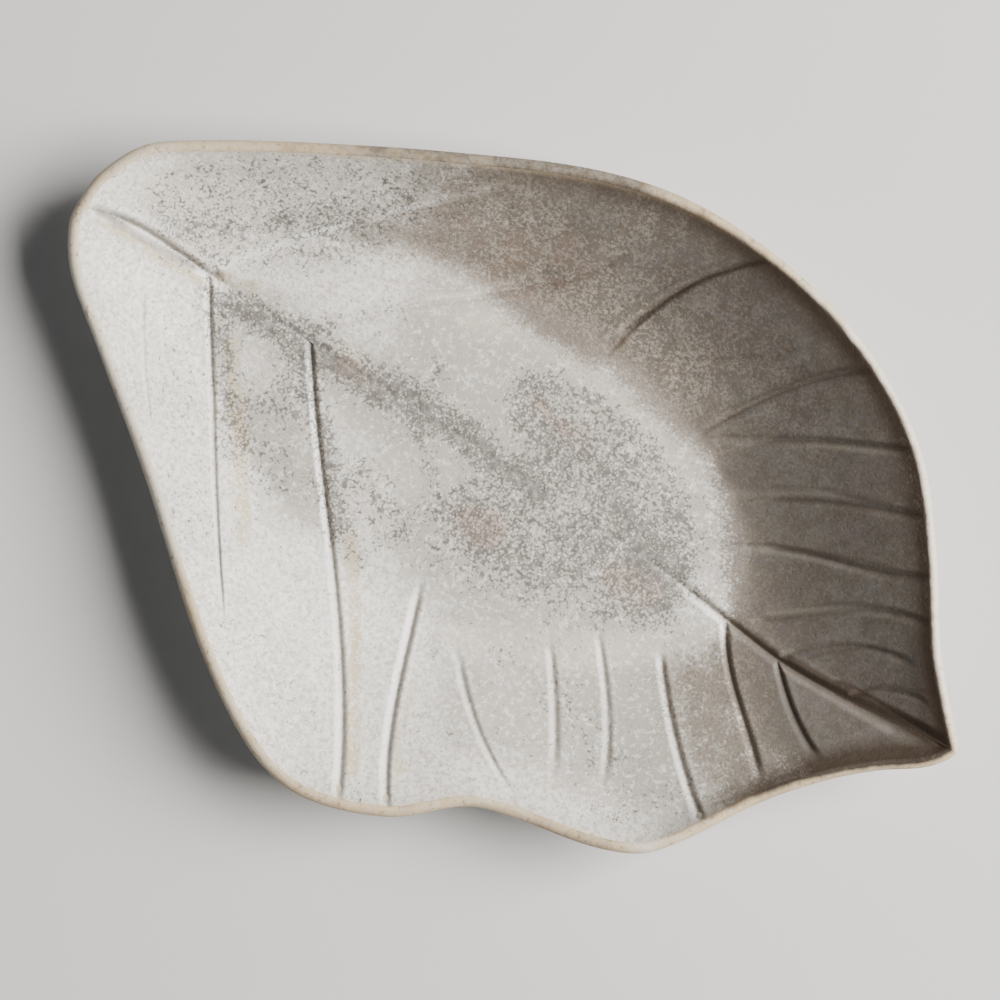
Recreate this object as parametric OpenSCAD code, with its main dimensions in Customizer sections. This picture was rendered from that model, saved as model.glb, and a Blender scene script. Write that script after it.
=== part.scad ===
// Leaf shaped stoneware plate: a dished clay slab with impressed veins, a glaze coat on
// its upper face, a glaze coat underneath and an unglazed foot ring.
// X runs along the midrib from the stem end to the tip, Y to the leaf's narrower side, Z up.
// The origin is on the table, under the middle of the plate's bounding box.

/* [Leaf] */
// Length from the stem end to the tip
leaf_length = 240; // [200:1:300]
// Width across the two sides
leaf_width = 165; // [145:1:200]
// Height of the rim above the table, halfway along a side
rim_height = 28; // [22:1:40]

/* [Well] */
// Length of the flat well, along the midrib
well_length = 142; // [120:1:150]
// Width of the flat well
well_width = 76; // [60:1:80]

/* [Clay] */
// Thickness of the clay in the well
floor_thickness = 5; // [4:0.1:7]
// Thickness of the clay at the lip
lip_thickness = 3.6; // [3:0.1:5]
// How far the lip's rounded nose stands out from the end of the wall
lip_nose = 1.6; // [0.8:0.1:2.2]

/* [Veins] */
// Width of the midrib's groove
midrib_width = 3; // [2:0.1:5]
// Depth of the midrib's groove
midrib_depth = 1.4; // [0.5:0.1:2]
// Width of a side vein's groove, measured along the leaf
vein_width = 3; // [2:0.1:3.4]
// Depth of a side vein's groove
vein_depth = 1.2; // [0.5:0.1:2]

/* [Tip] */
// How far before its end the tip starts to round
tip_round = 1.1; // [0.4:0.1:2]

/* [Glaze] */
// Thickness of the glaze on the upper face
top_coat = 0.5; // [0.3:0.05:0.9]
// Thickness of the glaze underneath
under_coat = 0.4; // [0.3:0.05:0.9]
// Bare clay left between the glaze and the foot ring
bare_strip = 1; // [0.5:0.1:3]

/* [Foot ring] */
// Height of the foot ring
foot_height = 3; // [2:0.1:6]
// Thickness of the foot ring's wall where it meets the slab
foot_wall = 6; // [4:0.1:9]
// Step from the edge of the well in to the outer side of the foot ring
foot_inset = 4; // [2:0.1:8]
// Width of the slope on each side of the foot ring
foot_slope = 1.2; // [0.4:0.1:1.6]

/* [Hidden] */

// The margin on each side, from the stem end to the tip. A point is a share of the
// length, a share of the width and a share of the rim height. The last one is the tip's
// corner before it is rounded.
upper_margin_shares = [
    [0, 0, 0.96], [0.003, 0.051, 0.96], [0.025, 0.116, 0.97], [0.068, 0.164, 0.98],
    [0.150, 0.236, 0.99], [0.278, 0.336, 1.00], [0.410, 0.425, 1.00], [0.510, 0.458, 1.00],
    [0.628, 0.449, 1.01], [0.733, 0.404, 1.02], [0.817, 0.329, 1.02], [0.879, 0.225, 1.01],
    [0.934, 0.109, 1.02], [0.967, 0.054, 1.04], [1.0025, 0, 1.07]
];
lower_margin_shares = [
    [0, 0, 0.96], [0.004, -0.036, 0.96], [0.031, -0.093, 0.96], [0.092, -0.163, 0.97],
    [0.193, -0.276, 0.99], [0.330, -0.442, 1.01], [0.422, -0.524, 1.01], [0.486, -0.541, 0.99],
    [0.568, -0.502, 0.95], [0.627, -0.432, 0.92], [0.665, -0.412, 0.93], [0.758, -0.381, 0.97],
    [0.804, -0.343, 0.98], [0.868, -0.201, 0.99], [0.907, -0.132, 1.00], [0.943, -0.083, 1.02],
    [0.981, -0.041, 1.05], [1.0025, 0, 1.07]
];
// The line of the midrib, as a share of its own length and a share of the leaf's width
midrib_shares = [
    [0, 0], [0.05, 0.014], [0.12, 0.012], [0.26, 0.007], [0.42, 0.006],
    [0.66, -0.001], [0.76, -0.011], [0.83, -0.019], [0.91, -0.012], [1, 0]
];
// Depth of the midrib's groove along it, as a share of the midrib's full depth
midrib_depth_shares = [
    [0, 0.5], [0.04, 1], [0.12, 1], [0.17, 0.5], [0.30, 0.35],
    [0.66, 0.25], [0.73, 0.8], [0.78, 1], [0.97, 1], [1, 0.5]
];
// The side veins, in pairs that leave the midrib together. A pair is its place on the
// midrib, then its upper and its lower vein, and a vein is the place where it meets the
// margin, its bow near the midrib, its bow near the margin, where its groove starts, where
// it ends, and its depth. Bows lean to the tip and are shares of the vein's own length.
vein_pair_shares = [
    [0.060, [0.220, -0.05, 0.00, 0, 1, 0], [0.240, -0.09, -0.04, 0.15, 0.75, 0.5]],
    [0.127, [0.390, -0.12, 0.05, 0, 0.85, 0.8], [0.390, 0.00, 0.04, 0, 0.85, 1]],
    [0.250, [0.490, -0.07, 0.19, 0.05, 0.9, 0.6], [0.515, 0.01, 0.06, 0, 1, 1]],
    [0.374, [0.530, -0.25, 0.05, 0.02, 0.2, 0.5], [0.555, 0.20, -0.04, 0, 1, 1]],
    [0.441, [0.570, 0.06, -0.16, 0.45, 1, 1], [0.665, -0.08, -0.22, 0.4, 0.95, 1]],
    [0.512, [0.650, -0.46, 0.05, 0.45, 0.95, 0.5], [0.692, 0.05, 0.00, 0.45, 0.9, 1]],
    [0.574, [0.690, -0.02, -0.14, 0.45, 1, 1], [0.740, 0.02, 0.02, 0.4, 0.85, 0.8]],
    [0.626, [0.761, -0.33, -0.16, 0.45, 1, 0.9], [0.775, 0.00, 0.00, 0, 1, 0]],
    [0.672, [0.815, -0.33, -0.12, 0.4, 1, 0.9], [0.810, -0.04, -0.10, 0.3, 0.95, 1]],
    [0.712, [0.861, -0.38, 0.02, 0.3, 1, 0.9], [0.830, 0.00, 0.00, 0, 1, 0]],
    [0.757, [0.898, 0.02, -0.14, 0.1, 1, 0.8], [0.850, -0.10, 0.03, 0, 0.95, 1]],
    [0.819, [0.935, -0.18, -0.16, 0, 0.9, 0.6], [0.900, -0.07, -0.11, 0, 0.9, 1]],
    [0.893, [0.961, -0.18, -0.12, 0, 0.9, 0.5], [0.950, 0.00, 0.00, 0, 1, 0]]
];
stem_pair_shares = [0, [0, 0, 0, 0, 1, 0], [0, 0, 0, 0, 1, 0]];
tip_pair_shares = [1, [1, 0, 0, 0, 1, 0], [1, 0, 0, 0, 1, 0]];
// Plain columns in each gap between the veins, from the stem end on
plain_columns = [7, 2, 2, 2, 3, 2, 1, 1, 1, 1, 1, 1, 2];
// Plain columns in the last gap, as shares of it, closer together where the tip is round
tip_column_shares = [0.40, 0.70, 0.88];
// Places along a column, after the midrib and its bank
row_shares = [0.12, 0.26, 0.40, 0.54, 0.68, 0.81, 0.91, 1];
// The long flank of a groove as a share of its width. The other flank is the steep one.
long_flank_share = 0.7;
// The most that the midrib's bank may take of a short column
bank_limit_share = 0.08;
// How long a groove takes to reach its depth, as a share of its column
groove_run_share = 0.12;
// Place of the well's centre, as a share of the leaf's length
well_centre_share = 0.455;
// How soon the wall leaves the well, and how much of its rise is in the curl at the lip
fillet_share = 0.12;
curl_share = 0.15;
// Rings of the underside, from the lip to the edge of the well, as shares of the wall
under_ring_shares = [0.78, 0.52, 0.28, 0.10, 0];
// Depth of a groove that the top glaze fills by pooling in it
pool_share = 0.25;
// Thickness that the top glaze keeps at its edge
glaze_edge_share = 0.6;
// Slope of the wall where it ends in the lip
lip_tilt = 35;
// Points round half the lip's nose and round the foot ring
nose_steps = 5;
foot_steps = 64;
// Samples of each side of the margin
reach_steps = 90;
// Past the faces that a cut trims
overrun = 1;
// Step along the margin that finds its direction, as a share of the leaf's length
probe_share = 0.002;

floor_top = foot_height + floor_thickness;
well_centre = [leaf_length * well_centre_share, 0];
lip_half_run = lip_thickness / 2 * sin(lip_tilt);
lip_reach = lip_half_run + norm([lip_half_run, lip_nose * cos(lip_tilt)]);
under_reach = lip_reach - 2 * lip_half_run;
rows = len(row_shares) + 1;

function plan(p) = [p.x, p.y];
function mix(a, b, t) = a + (b - a) * t;
function flip(list) = [for (i = [len(list) - 1:-1:0]) list[i]];

// A smooth curve through points. Its place is measured along the points in plan, and its
// slope at a point is that of the line between the two neighbours.
function running_length(p) = [
    for (i = 0, s = 0; i < len(p); s = s + norm(plan(p[min(i + 1, len(p) - 1)]) - plan(p[i])), i = i + 1) s
];
function curve(p) =
    let (k = running_length(p), last = len(p) - 1)
    [
        p,
        k,
        [for (i = [0:last]) let (a = max(i - 1, 0), b = min(i + 1, last)) (p[b] - p[a]) / (k[b] - k[a])],
        [for (i = [0:last]) [k[i], i]]
    ];
function curve_end(c) = c[1][len(c[1]) - 1];
function curve_at(c, s) =
    let (
        i = min(floor(lookup(s, c[3])), len(c[0]) - 2),
        h = c[1][i + 1] - c[1][i],
        u = (s - c[1][i]) / h
    )
    (2 * u^3 - 3 * u^2 + 1) * c[0][i] + (u^3 - 2 * u^2 + u) * h * c[2][i]
    + (3 * u^2 - 2 * u^3) * c[0][i + 1] + (u^3 - u^2) * h * c[2][i + 1];

// The margin is one curve from the tip along the lower side to the stem end, and on along
// the upper side to the tip. A side is -1 for the lower one and 1 for the upper one.
upper_points = len(upper_margin_shares) - 1;
margin_shares = concat(flip(lower_margin_shares), [for (i = [1:upper_points]) upper_margin_shares[i]]);
margin = curve([for (p = margin_shares) [p.x * leaf_length, p.y * leaf_width, p.z * rim_height]]);
margin_run = curve_end(margin);
lower_run = margin[1][len(lower_margin_shares) - 1];
upper_run = margin_run - lower_run;
probe = leaf_length * probe_share;

function run_of(side, share) = lower_run + (side > 0 ? share * upper_run : -share * lower_run);
function margin_at(run) =
    curve_at(margin, run < 0 ? run + margin_run : run > margin_run ? run - margin_run : run);
function edge_normal(a, b) = let (d = plan(b - a)) [d.y, -d.x] / norm(d);
// Inward direction at the margin, mitred so that an offset keeps its width at the tip
function inward(run) =
    let (
        p = margin_at(run),
        a = edge_normal(margin_at(run - probe), p),
        b = edge_normal(p, margin_at(run + probe))
    )
    (a + b) / (1 + a * b);
function inset(run, distance) = plan(margin_at(run)) + inward(run) * distance;
// The tip's corner is rounded by drawing back what lies past the place where its rounding
// starts, along a hyperbolic tangent that never passes the leaf's length
function tip_rounded(x) =
    let (u = (x - leaf_length) / tip_round + 1)
    u <= 0 ? x : leaf_length - tip_round + tip_round * (1 - 2 / (exp(2 * u) + 1));

// The wall seen from the well's centre: how far away the margin lies in each direction,
// and how high it is there. Directions are the angle from the tip, alike on both sides.
function bearing(p) = let (d = plan(p) - well_centre) abs(atan2(d.y, d.x));
function samples(side) = [for (i = [0:reach_steps]) margin_at(run_of(side, i / reach_steps))];
function reach_table(side) = [for (p = samples(side)) [bearing(p), norm(plan(p) - well_centre)]];
function rise_table(side) = [for (p = samples(side)) [bearing(p), p.z]];
upper_reach = reach_table(1);
upper_rise = rise_table(1);
lower_reach = reach_table(-1);
lower_rise = rise_table(-1);

function oval_reach(a, length, width) = 1 / norm([2 * cos(a) / length, 2 * sin(a) / width]);
// A wall's place at a point: share of the way from well to margin, rim height, wall width
function wall_at(p) =
    let (
        a = bearing(p),
        upper = p.y >= 0,
        start = oval_reach(a, well_length, well_width),
        reach = lookup(a, upper ? upper_reach : lower_reach),
        rise = lookup(a, upper ? upper_rise : lower_rise),
        q = (norm(plan(p) - well_centre) - start) / (reach - start)
    )
    [max(0, min(1, q)), rise, reach - start];
// Share of the rise at a share of the wall: a fillet out of the well, an even slope, and a
// curl that steepens to the lip
function wall_rise(q) = (1 - curl_share) * (1 + fillet_share) * q^2 / (q + fillet_share) + curl_share * q^4;
function wall_slope(q) =
    (1 - curl_share) * (1 + fillet_share) * (q^2 + 2 * q * fillet_share) / (q + fillet_share)^2
    + 4 * curl_share * q^3;
function dish_height(p) = let (w = wall_at(p)) mix(floor_top, w[1], wall_rise(w[0]));
function under_height(p) =
    let (
        w = wall_at(p),
        slope = (w[1] - floor_top) * wall_slope(w[0]) / w[2],
        thickness = mix(floor_thickness, lip_thickness, w[0])
    )
    mix(floor_top, w[1], wall_rise(w[0])) - thickness * sqrt(1 + slope^2);

// The midrib, from the inner edge of the lip at the stem end to the one at the tip
stem_in = inset(lower_run, lip_reach);
tip_in = inset(0, lip_reach);
midrib_line = curve([for (p = midrib_shares) [mix(stem_in.x, tip_in.x, p.x), p.y * leaf_width]]);
midrib_end = curve_end(midrib_line);
function midrib_at(share) =
    let (slack = mix(stem_in, tip_in, share) - [mix(stem_in.x, tip_in.x, share), 0])
    curve_at(midrib_line, share * midrib_end) + slack;

// A column is a place on the midrib, then margin place and two bows for each side, then
// start, end and depth of the groove in it for each side.
no_groove = [0, 1, 0];
function shape_of(pair) = concat(
    pair[0],
    [for (i = [0:2]) pair[1][i]],
    [for (i = [0:2]) pair[2][i]]
);
function groove_of(vein) = [vein[3], vein[4], vein[5]];
// The width of a groove's flank. A vein's long flank lies to the stem end of its line on the
// lower side and to the tip on the upper side, and the midrib's lies on the lower side.
function flank(width, is_long) = width * (is_long ? long_flank_share : 1 - long_flank_share);
function bank(pair, way) =
    shape_of(pair)
    + way * [
        vein_width / 2 / leaf_length,
        flank(vein_width, way > 0) / upper_run, 0, 0,
        flank(vein_width, way < 0) / lower_run, 0, 0
    ];
pair_count = len(vein_pair_shares);
function gap_shares(i) =
    i == pair_count
        ? tip_column_shares
        : [for (k = [1:plain_columns[i]]) k / (plain_columns[i] + 1)];
function gap(i) =
    let (
        from = i == 0 ? shape_of(stem_pair_shares) : bank(vein_pair_shares[i - 1], 1),
        to = i == pair_count ? shape_of(tip_pair_shares) : bank(vein_pair_shares[i], -1)
    )
    [for (share = gap_shares(i)) [mix(from, to, share), no_groove, no_groove]];
function vein_columns(pair) = [
    [bank(pair, -1), no_groove, no_groove],
    [shape_of(pair), groove_of(pair[1]), groove_of(pair[2])],
    [bank(pair, 1), no_groove, no_groove]
];
columns = [
    [shape_of(stem_pair_shares), no_groove, no_groove],
    for (i = [0:pair_count]) each concat(gap(i), i < pair_count ? vein_columns(vein_pair_shares[i]) : []),
    [shape_of(tip_pair_shares), no_groove, no_groove]
];
last_column = len(columns) - 1;

function margin_share(column, side) = column[0][side > 0 ? 1 : 4];
function bows(column, side) = side > 0 ? [column[0][2], column[0][3]] : [column[0][5], column[0][6]];
// Places along a column: the midrib, its bank, then the shares above
function places(side, length) = concat(
    [0, min(bank_limit_share, flank(midrib_width, side < 0) / length)],
    row_shares
);
function groove_depth(groove, v) =
    let (
        opening = min(1, max(0, (v - groove[0]) / groove_run_share + (groove[0] == 0 ? 1 : 0))),
        closing = min(1, max(0, (groove[1] - v) / groove_run_share + (groove[1] == 1 ? 1 : 0)))
    )
    vein_depth * groove[2] * opening * closing;
// Points down one side of a column: place in plan, dish height and groove depth
function column_side(column, side) =
    let (
        root = midrib_at(column[0][0]),
        reach = inset(run_of(side, margin_share(column, side)), lip_reach) - root,
        across = side * [reach.y, -reach.x],
        b = bows(column, side),
        groove = column[side > 0 ? 1 : 2],
        midrib = midrib_depth * lookup(column[0][0], midrib_depth_shares)
    )
    [
        for (v = places(side, norm(reach)))
            let (
                bow = 3 * v * (1 - v) * (b[0] * (1 - v) + b[1] * v),
                p = root + reach * v + across * bow
            )
            [tip_rounded(p.x), p.y, dish_height(p), max(groove_depth(groove, v), v == 0 ? midrib : 0)]
    ];
function column_points(column) =
    let (lower = column_side(column, -1), upper = column_side(column, 1))
    concat(flip(lower), [for (i = [1:rows]) upper[i]]);
function end_point(p) = [tip_rounded(p.x), p.y, dish_height(p), 0];
leaf_points = concat(
    [end_point(stem_in)],
    [for (i = [1:last_column - 1]) each column_points(columns[i])],
    [end_point(tip_in)]
);
leaf_count = len(leaf_points);

function leaf_vertex(c, r) =
    c == 0 ? 0 : c == last_column ? leaf_count - 1 : 1 + (c - 1) * (2 * rows + 1) + r + rows;
// The two triangles of a cell, less one where the cell has only three corners
function cell(a, b, c, d) = [
    for (t = [[a, b, c], [a, c, d]])
        if (t[0] != t[1] && t[1] != t[2] && t[2] != t[0]) t
];
function leaf_cell(c, r) =
    cell(leaf_vertex(c, r), leaf_vertex(c, r + 1), leaf_vertex(c + 1, r + 1), leaf_vertex(c + 1, r));
leaf_faces = [for (c = [0:last_column - 1], r = [-rows:rows - 1]) each leaf_cell(c, r)];
// The rim of the leaf's face, in the order of the margin
leaf_rim = concat(
    [leaf_count - 1],
    [for (c = [last_column - 1:-1:1]) leaf_vertex(c, -rows)],
    [0],
    [for (c = [1:last_column - 1]) leaf_vertex(c, rows)]
);
rim_runs = concat(
    [0],
    [for (c = [last_column - 1:-1:1]) run_of(-1, margin_share(columns[c], -1))],
    [lower_run],
    [for (c = [1:last_column - 1]) run_of(1, margin_share(columns[c], 1))]
);
rim_count = len(rim_runs);

// The faces of a sheet, and of the sheet behind it that repeats its points after count
function skin_faces(faces, count) = concat(faces, [for (f = faces) [for (v = flip(f)) v + count]]);
// Faces between one ring of vertices and the next one, which lies outside or below it
function ring_faces(a, b) =
    let (n = len(a))
    [for (k = [0:n - 1]) each cell(a[k], b[k], b[(k + 1) % n], a[(k + 1) % n])];
function ring_indices(first, count) = [for (k = [0:count - 1]) first + k];
// A closed tube of rings, all of the same count
function tube_faces(ring_total, count) = [
    for (i = [0:ring_total - 1])
        each ring_faces(ring_indices(i * count, count), ring_indices(((i + 1) % ring_total) * count, count))
];

// The lip's section at one place of the margin, from its inner edge round to its lower edge
function lip_section(run) =
    let (
        inner = inset(run, lip_reach),
        outer = inset(run, under_reach),
        upper = [inner.x, inner.y, dish_height(inner)],
        lower = [outer.x, outer.y, under_height(outer)],
        half = (upper - lower) / 2,
        run_in = norm(plan(half)),
        out = [-half.x * half.z / run_in, -half.y * half.z / run_in, run_in] / norm(half)
    )
    [
        for (j = [1:nose_steps])
            let (
                turn = 180 * j / nose_steps,
                p = (upper + lower) / 2 + half * cos(turn) + out * lip_nose * sin(turn)
            )
            [tip_rounded(p.x), p.y, p.z]
    ];
lip_sections = [for (run = rim_runs) lip_section(run)];
lip_rings = [for (j = [0:nose_steps - 1]) [for (s = lip_sections) s[j]]];
lip_foot = lip_rings[nose_steps - 1];

// A ring of the underside, at a share of the wall from the edge of the well to the lip
function under_point(p, share) =
    let (
        d = plan(p) - well_centre,
        start = oval_reach(bearing(p), well_length, well_width),
        q = well_centre + d / norm(d) * mix(start, norm(d), share)
    )
    [q.x, q.y, under_height(q)];
under_rings = [for (share = under_ring_shares) [for (p = lip_foot) under_point(p, share)]];
// An oval round the well's centre, seen in the direction of each point of the lip
function oval_ring(length, width, height) = [
    for (p = lip_foot)
        let (
            d = plan(p) - well_centre,
            q = well_centre + d / norm(d) * oval_reach(bearing(p), length, width)
        )
        [q.x, q.y, height]
];

foot_length = well_length - 2 * foot_inset;
foot_width = well_width - 2 * foot_inset;
// An oval foot_length by foot_width, grown by a margin all round, in the margin's order
function foot_oval(grow, height) = [
    for (i = [0:foot_steps - 1])
        let (a = -360 * i / foot_steps)
        [
            well_centre.x + (foot_length / 2 + grow) * cos(a),
            well_centre.y + (foot_width / 2 + grow) * sin(a),
            height
        ]
];

box_low = [for (axis = [0:1]) min([for (s = lip_sections, p = s) p[axis]])];
box_high = [for (axis = [0:1]) max([for (s = lip_sections, p = s) p[axis]])];
origin = -(box_low + box_high) / 2;

module clay_slab() {
    body_rings = concat(lip_rings, under_rings);
    first = [for (i = [0:len(body_rings) - 1]) leaf_count + i * rim_count];
    index = concat([leaf_rim], [for (i = first) ring_indices(i, rim_count)]);
    centre = leaf_count + len(body_rings) * rim_count;
    innermost = index[len(index) - 1];
    color([0.74, 0.60, 0.44])
        translate([origin.x, origin.y, 0])
            polyhedron(
                points = concat(
                    [for (p = leaf_points) [p.x, p.y, p[2] - p[3]]],
                    [for (ring = body_rings) each ring],
                    [[well_centre.x, well_centre.y, foot_height]]
                ),
                faces = concat(
                    leaf_faces,
                    [for (i = [0:len(index) - 2]) each ring_faces(index[i], index[i + 1])],
                    [for (k = [0:rim_count - 1]) [innermost[k], centre, innermost[(k + 1) % rim_count]]]
                )
            );
}

module top_glaze() {
    edge_height = [for (i = [0:leaf_count - 1]) len(search(i, leaf_rim)) > 0 ? glaze_edge_share : 1];
    color([0.83, 0.81, 0.77])
        translate([origin.x, origin.y, 0])
            polyhedron(
                points = concat(
                    [for (i = [0:leaf_count - 1]) let (p = leaf_points[i])
                        [p.x, p.y, p[2] - p[3] * (1 - pool_share) + top_coat * edge_height[i]]],
                    [for (p = leaf_points) [p.x, p.y, p[2] - p[3]]]
                ),
                faces = concat(
                    skin_faces(leaf_faces, leaf_count),
                    ring_faces(leaf_rim, [for (i = leaf_rim) i + leaf_count])
                )
            );
}

module under_glaze() {
    rings = concat(
        [lip_foot],
        under_rings,
        [oval_ring(foot_length + 2 * bare_strip, foot_width + 2 * bare_strip, foot_height)]
    );
    index = [for (i = [0:len(rings) - 1]) ring_indices(i * rim_count, rim_count)];
    innermost = index[len(index) - 1];
    count = len(rings) * rim_count;
    faces = [for (i = [0:len(index) - 2]) each ring_faces(index[i], index[i + 1])];
    color([0.80, 0.77, 0.72])
        translate([origin.x, origin.y, 0]) {
            polyhedron(
                points = concat(
                    [for (ring = rings, p = ring) [p.x, p.y, p.z - under_coat]],
                    [for (ring = rings) each ring]
                ),
                faces = concat(
                    skin_faces(faces, count),
                    ring_faces([for (i = index[0]) i + count], index[0]),
                    ring_faces(innermost, [for (i = innermost) i + count])
                )
            );
            translate([0, 0, foot_height - under_coat])
                linear_extrude(under_coat)
                    polygon([for (p = foot_oval(-foot_wall - bare_strip, 0)) plan(p)]);
        }
}

module foot_ring() {
    low_slope = foot_slope * (foot_height + overrun) / foot_height;
    rings = [
        foot_oval(-low_slope, -overrun),
        foot_oval(-foot_wall + low_slope, -overrun),
        foot_oval(-foot_wall, foot_height),
        foot_oval(0, foot_height)
    ];
    color([0.70, 0.56, 0.41])
        translate([origin.x, origin.y, 0])
            difference() {
                polyhedron(
                    points = [for (ring = rings) each ring],
                    faces = tube_faces(len(rings), foot_steps)
                );
                translate([well_centre.x - foot_length, -foot_width, -2 * overrun])
                    cube([2 * foot_length, 2 * foot_width, 2 * overrun]);
            }
}

clay_slab();
top_glaze();
under_glaze();
foot_ring();
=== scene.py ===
import math

import bpy
import numpy as np
from bpy.props import FloatProperty, FloatVectorProperty, PointerProperty
from bpy.types import NodeSocket, Operator, Panel, PropertyGroup
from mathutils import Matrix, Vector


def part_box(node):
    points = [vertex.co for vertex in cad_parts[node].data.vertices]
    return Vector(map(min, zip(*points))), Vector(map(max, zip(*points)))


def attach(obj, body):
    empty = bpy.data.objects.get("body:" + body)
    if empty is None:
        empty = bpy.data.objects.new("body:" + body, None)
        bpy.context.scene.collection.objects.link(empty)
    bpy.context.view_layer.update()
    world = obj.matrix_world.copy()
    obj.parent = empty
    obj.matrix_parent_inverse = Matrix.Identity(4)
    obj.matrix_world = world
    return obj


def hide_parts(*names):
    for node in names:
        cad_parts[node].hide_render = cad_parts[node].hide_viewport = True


bl_info = {
    "name": "Leaf plate",
    "version": (1, 0, 0),
    "blender": (4, 5, 0),
    "location": "View3D > Sidebar > Leaf plate",
    "description": "Finishes a leaf shaped stoneware plate: clay, glazes, foot ring and studio",
    "category": "Add Mesh",
}

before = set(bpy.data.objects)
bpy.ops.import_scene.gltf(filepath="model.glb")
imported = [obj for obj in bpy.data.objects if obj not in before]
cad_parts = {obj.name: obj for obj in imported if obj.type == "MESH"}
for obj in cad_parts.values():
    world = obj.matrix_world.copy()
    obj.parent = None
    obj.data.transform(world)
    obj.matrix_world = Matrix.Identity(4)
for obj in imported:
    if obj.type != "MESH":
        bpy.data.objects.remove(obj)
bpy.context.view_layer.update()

BODY = "root"

# The leaf's form. The margin and the well are the solid model's own. The midrib near the tip,
# its depth and some of the side veins are drawn more closely here.

# The margin on each side, from the stem end to the tip. A point is a share of the length,
# a share of the width and a share of the rim height. The last one is the tip's corner before it
# is rounded.
UPPER_MARGIN_SHARES = (
    (0, 0, 0.96), (0.003, 0.051, 0.96), (0.025, 0.116, 0.97), (0.068, 0.164, 0.98),
    (0.150, 0.236, 0.99), (0.278, 0.336, 1.00), (0.410, 0.425, 1.00), (0.510, 0.458, 1.00),
    (0.628, 0.449, 1.01), (0.733, 0.404, 1.02), (0.817, 0.329, 1.02), (0.879, 0.225, 1.01),
    (0.934, 0.109, 1.02), (0.967, 0.054, 1.04), (1.0025, 0, 1.07),
)
LOWER_MARGIN_SHARES = (
    (0, 0, 0.96), (0.004, -0.036, 0.96), (0.031, -0.093, 0.96), (0.092, -0.163, 0.97),
    (0.193, -0.276, 0.99), (0.330, -0.442, 1.01), (0.422, -0.524, 1.01), (0.486, -0.541, 0.99),
    (0.568, -0.502, 0.95), (0.627, -0.432, 0.92), (0.665, -0.412, 0.93), (0.758, -0.381, 0.97),
    (0.804, -0.343, 0.98), (0.868, -0.201, 0.99), (0.907, -0.132, 1.00), (0.943, -0.083, 1.02),
    (0.981, -0.041, 1.05), (1.0025, 0, 1.07),
)
# The line of the midrib, as a share of its own length and a share of the leaf's width
MIDRIB_SHARES = (
    (0, 0), (0.05, 0.014), (0.12, 0.012), (0.26, 0.007), (0.42, 0.006),
    (0.66, -0.001), (0.76, -0.014), (0.83, -0.023), (0.91, -0.017), (1, 0),
)
# Depth of the midrib's groove along it, as a share of its full depth
MIDRIB_DEPTH_SHARES = (
    (0, 0.5), (0.04, 1), (0.11, 1), (0.15, 0.45), (0.30, 0.20),
    (0.66, 0.15), (0.73, 0.8), (0.78, 1), (0.97, 1), (1, 0.5),
)
# Pairs of side veins. A pair is its place on the midrib, its upper vein and its lower vein. A
# vein is the place where it meets the margin, its bow near the midrib, its bow near the
# margin, where its groove starts, where it ends, and its depth.
VEIN_PAIR_SHARES = (
    (0.060, (0.220, -0.05, 0.00, 0, 1, 0), (0.240, -0.09, -0.04, 0.15, 0.75, 0.35)),
    (0.127, (0.390, -0.12, 0.05, 0, 0.85, 0.4), (0.390, -0.02, -0.015, 0, 0.85, 0.9)),
    (0.250, (0.490, -0.07, 0.19, 0.05, 0.9, 0.6), (0.515, -0.01, 0.05, 0, 1, 1)),
    (0.374, (0.530, -0.25, 0.11, 0.02, 0.2, 0.5), (0.553, 0.15, -0.05, 0.42, 1, 1)),
    (0.441, (0.570, 0.06, -0.16, 0.50, 1, 1), (0.656, -0.110, -0.200, 0.53, 0.98, 0.6)),
    (0.512, (0.650, -0.44, 0.05, 0.45, 0.95, 0.5), (0.6745, 0.020, 0.080, 0.46, 0.9, 0.6)),
    (0.574, (0.690, -0.02, -0.14, 0.45, 1, 1), (0.708, 0.020, 0.150, 0.35, 0.88, 0.55)),
    (0.626, (0.761, -0.33, -0.16, 0.45, 1, 0.9), (0.754, 0.00, 0.00, 0, 1, 0)),
    (0.672, (0.815, -0.33, -0.12, 0.4, 1, 0.9), (0.801, -0.063, -0.076, 0.30, 1, 0.85)),
    (0.712, (0.861, -0.38, 0.02, 0.3, 1, 0.9), (0.830, 0.00, 0.00, 0, 1, 0)),
    (0.757, (0.898, 0.02, -0.14, 0.1, 1, 0.8), (0.850, -0.10, 0.03, 0, 0.95, 1)),
    (0.819, (0.935, -0.18, -0.16, 0, 0.9, 0.6), (0.900, -0.07, -0.11, 0, 0.9, 1)),
    (0.893, (0.961, -0.18, -0.12, 0, 0.9, 0.5), (0.950, 0.00, 0.00, 0, 1, 0)),
)
# The well's centre, as a share of the leaf's length
WELL_CENTRE_SHARE = 0.455
# How soon the wall leaves the well, and how much of its rise is in the curl at the lip
FILLET_SHARE = 0.12
CURL_SHARE = 0.15
# Lean of the lip from upright
LIP_TILT = math.radians(35)
# Length of the short edges that give the margin's direction: away from the tip and at the tip,
# and how far from the tip they have their first length again, as shares of the leaf's length
PROBE_SHARE = 0.002
TIP_PROBE_SHARE = 0.0135
TIP_TURN_SHARE = 0.034
# The unevenness is three crossing waves: metres for a radian of each, its weight and its start.
# The first wanders across the leaf and the second leans along it.
WAVE_LENGTHS = (0.0095, 0.0082, 0.0061)
WAVE_WEIGHTS = (1, 0.8, 0.6)
WAVE_STARTS = (0, 0.7, 2.1)
WANDER_LENGTH = 0.017
WANDER_WEIGHT = 1.3
LEAN_LENGTH = 0.021
# Share of the unevenness that is left in the flat well
WELL_STRAY_SHARE = 0.35

# How much of a groove's depth the pooled glaze fills
POOL_SHARE = 0.25
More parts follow.
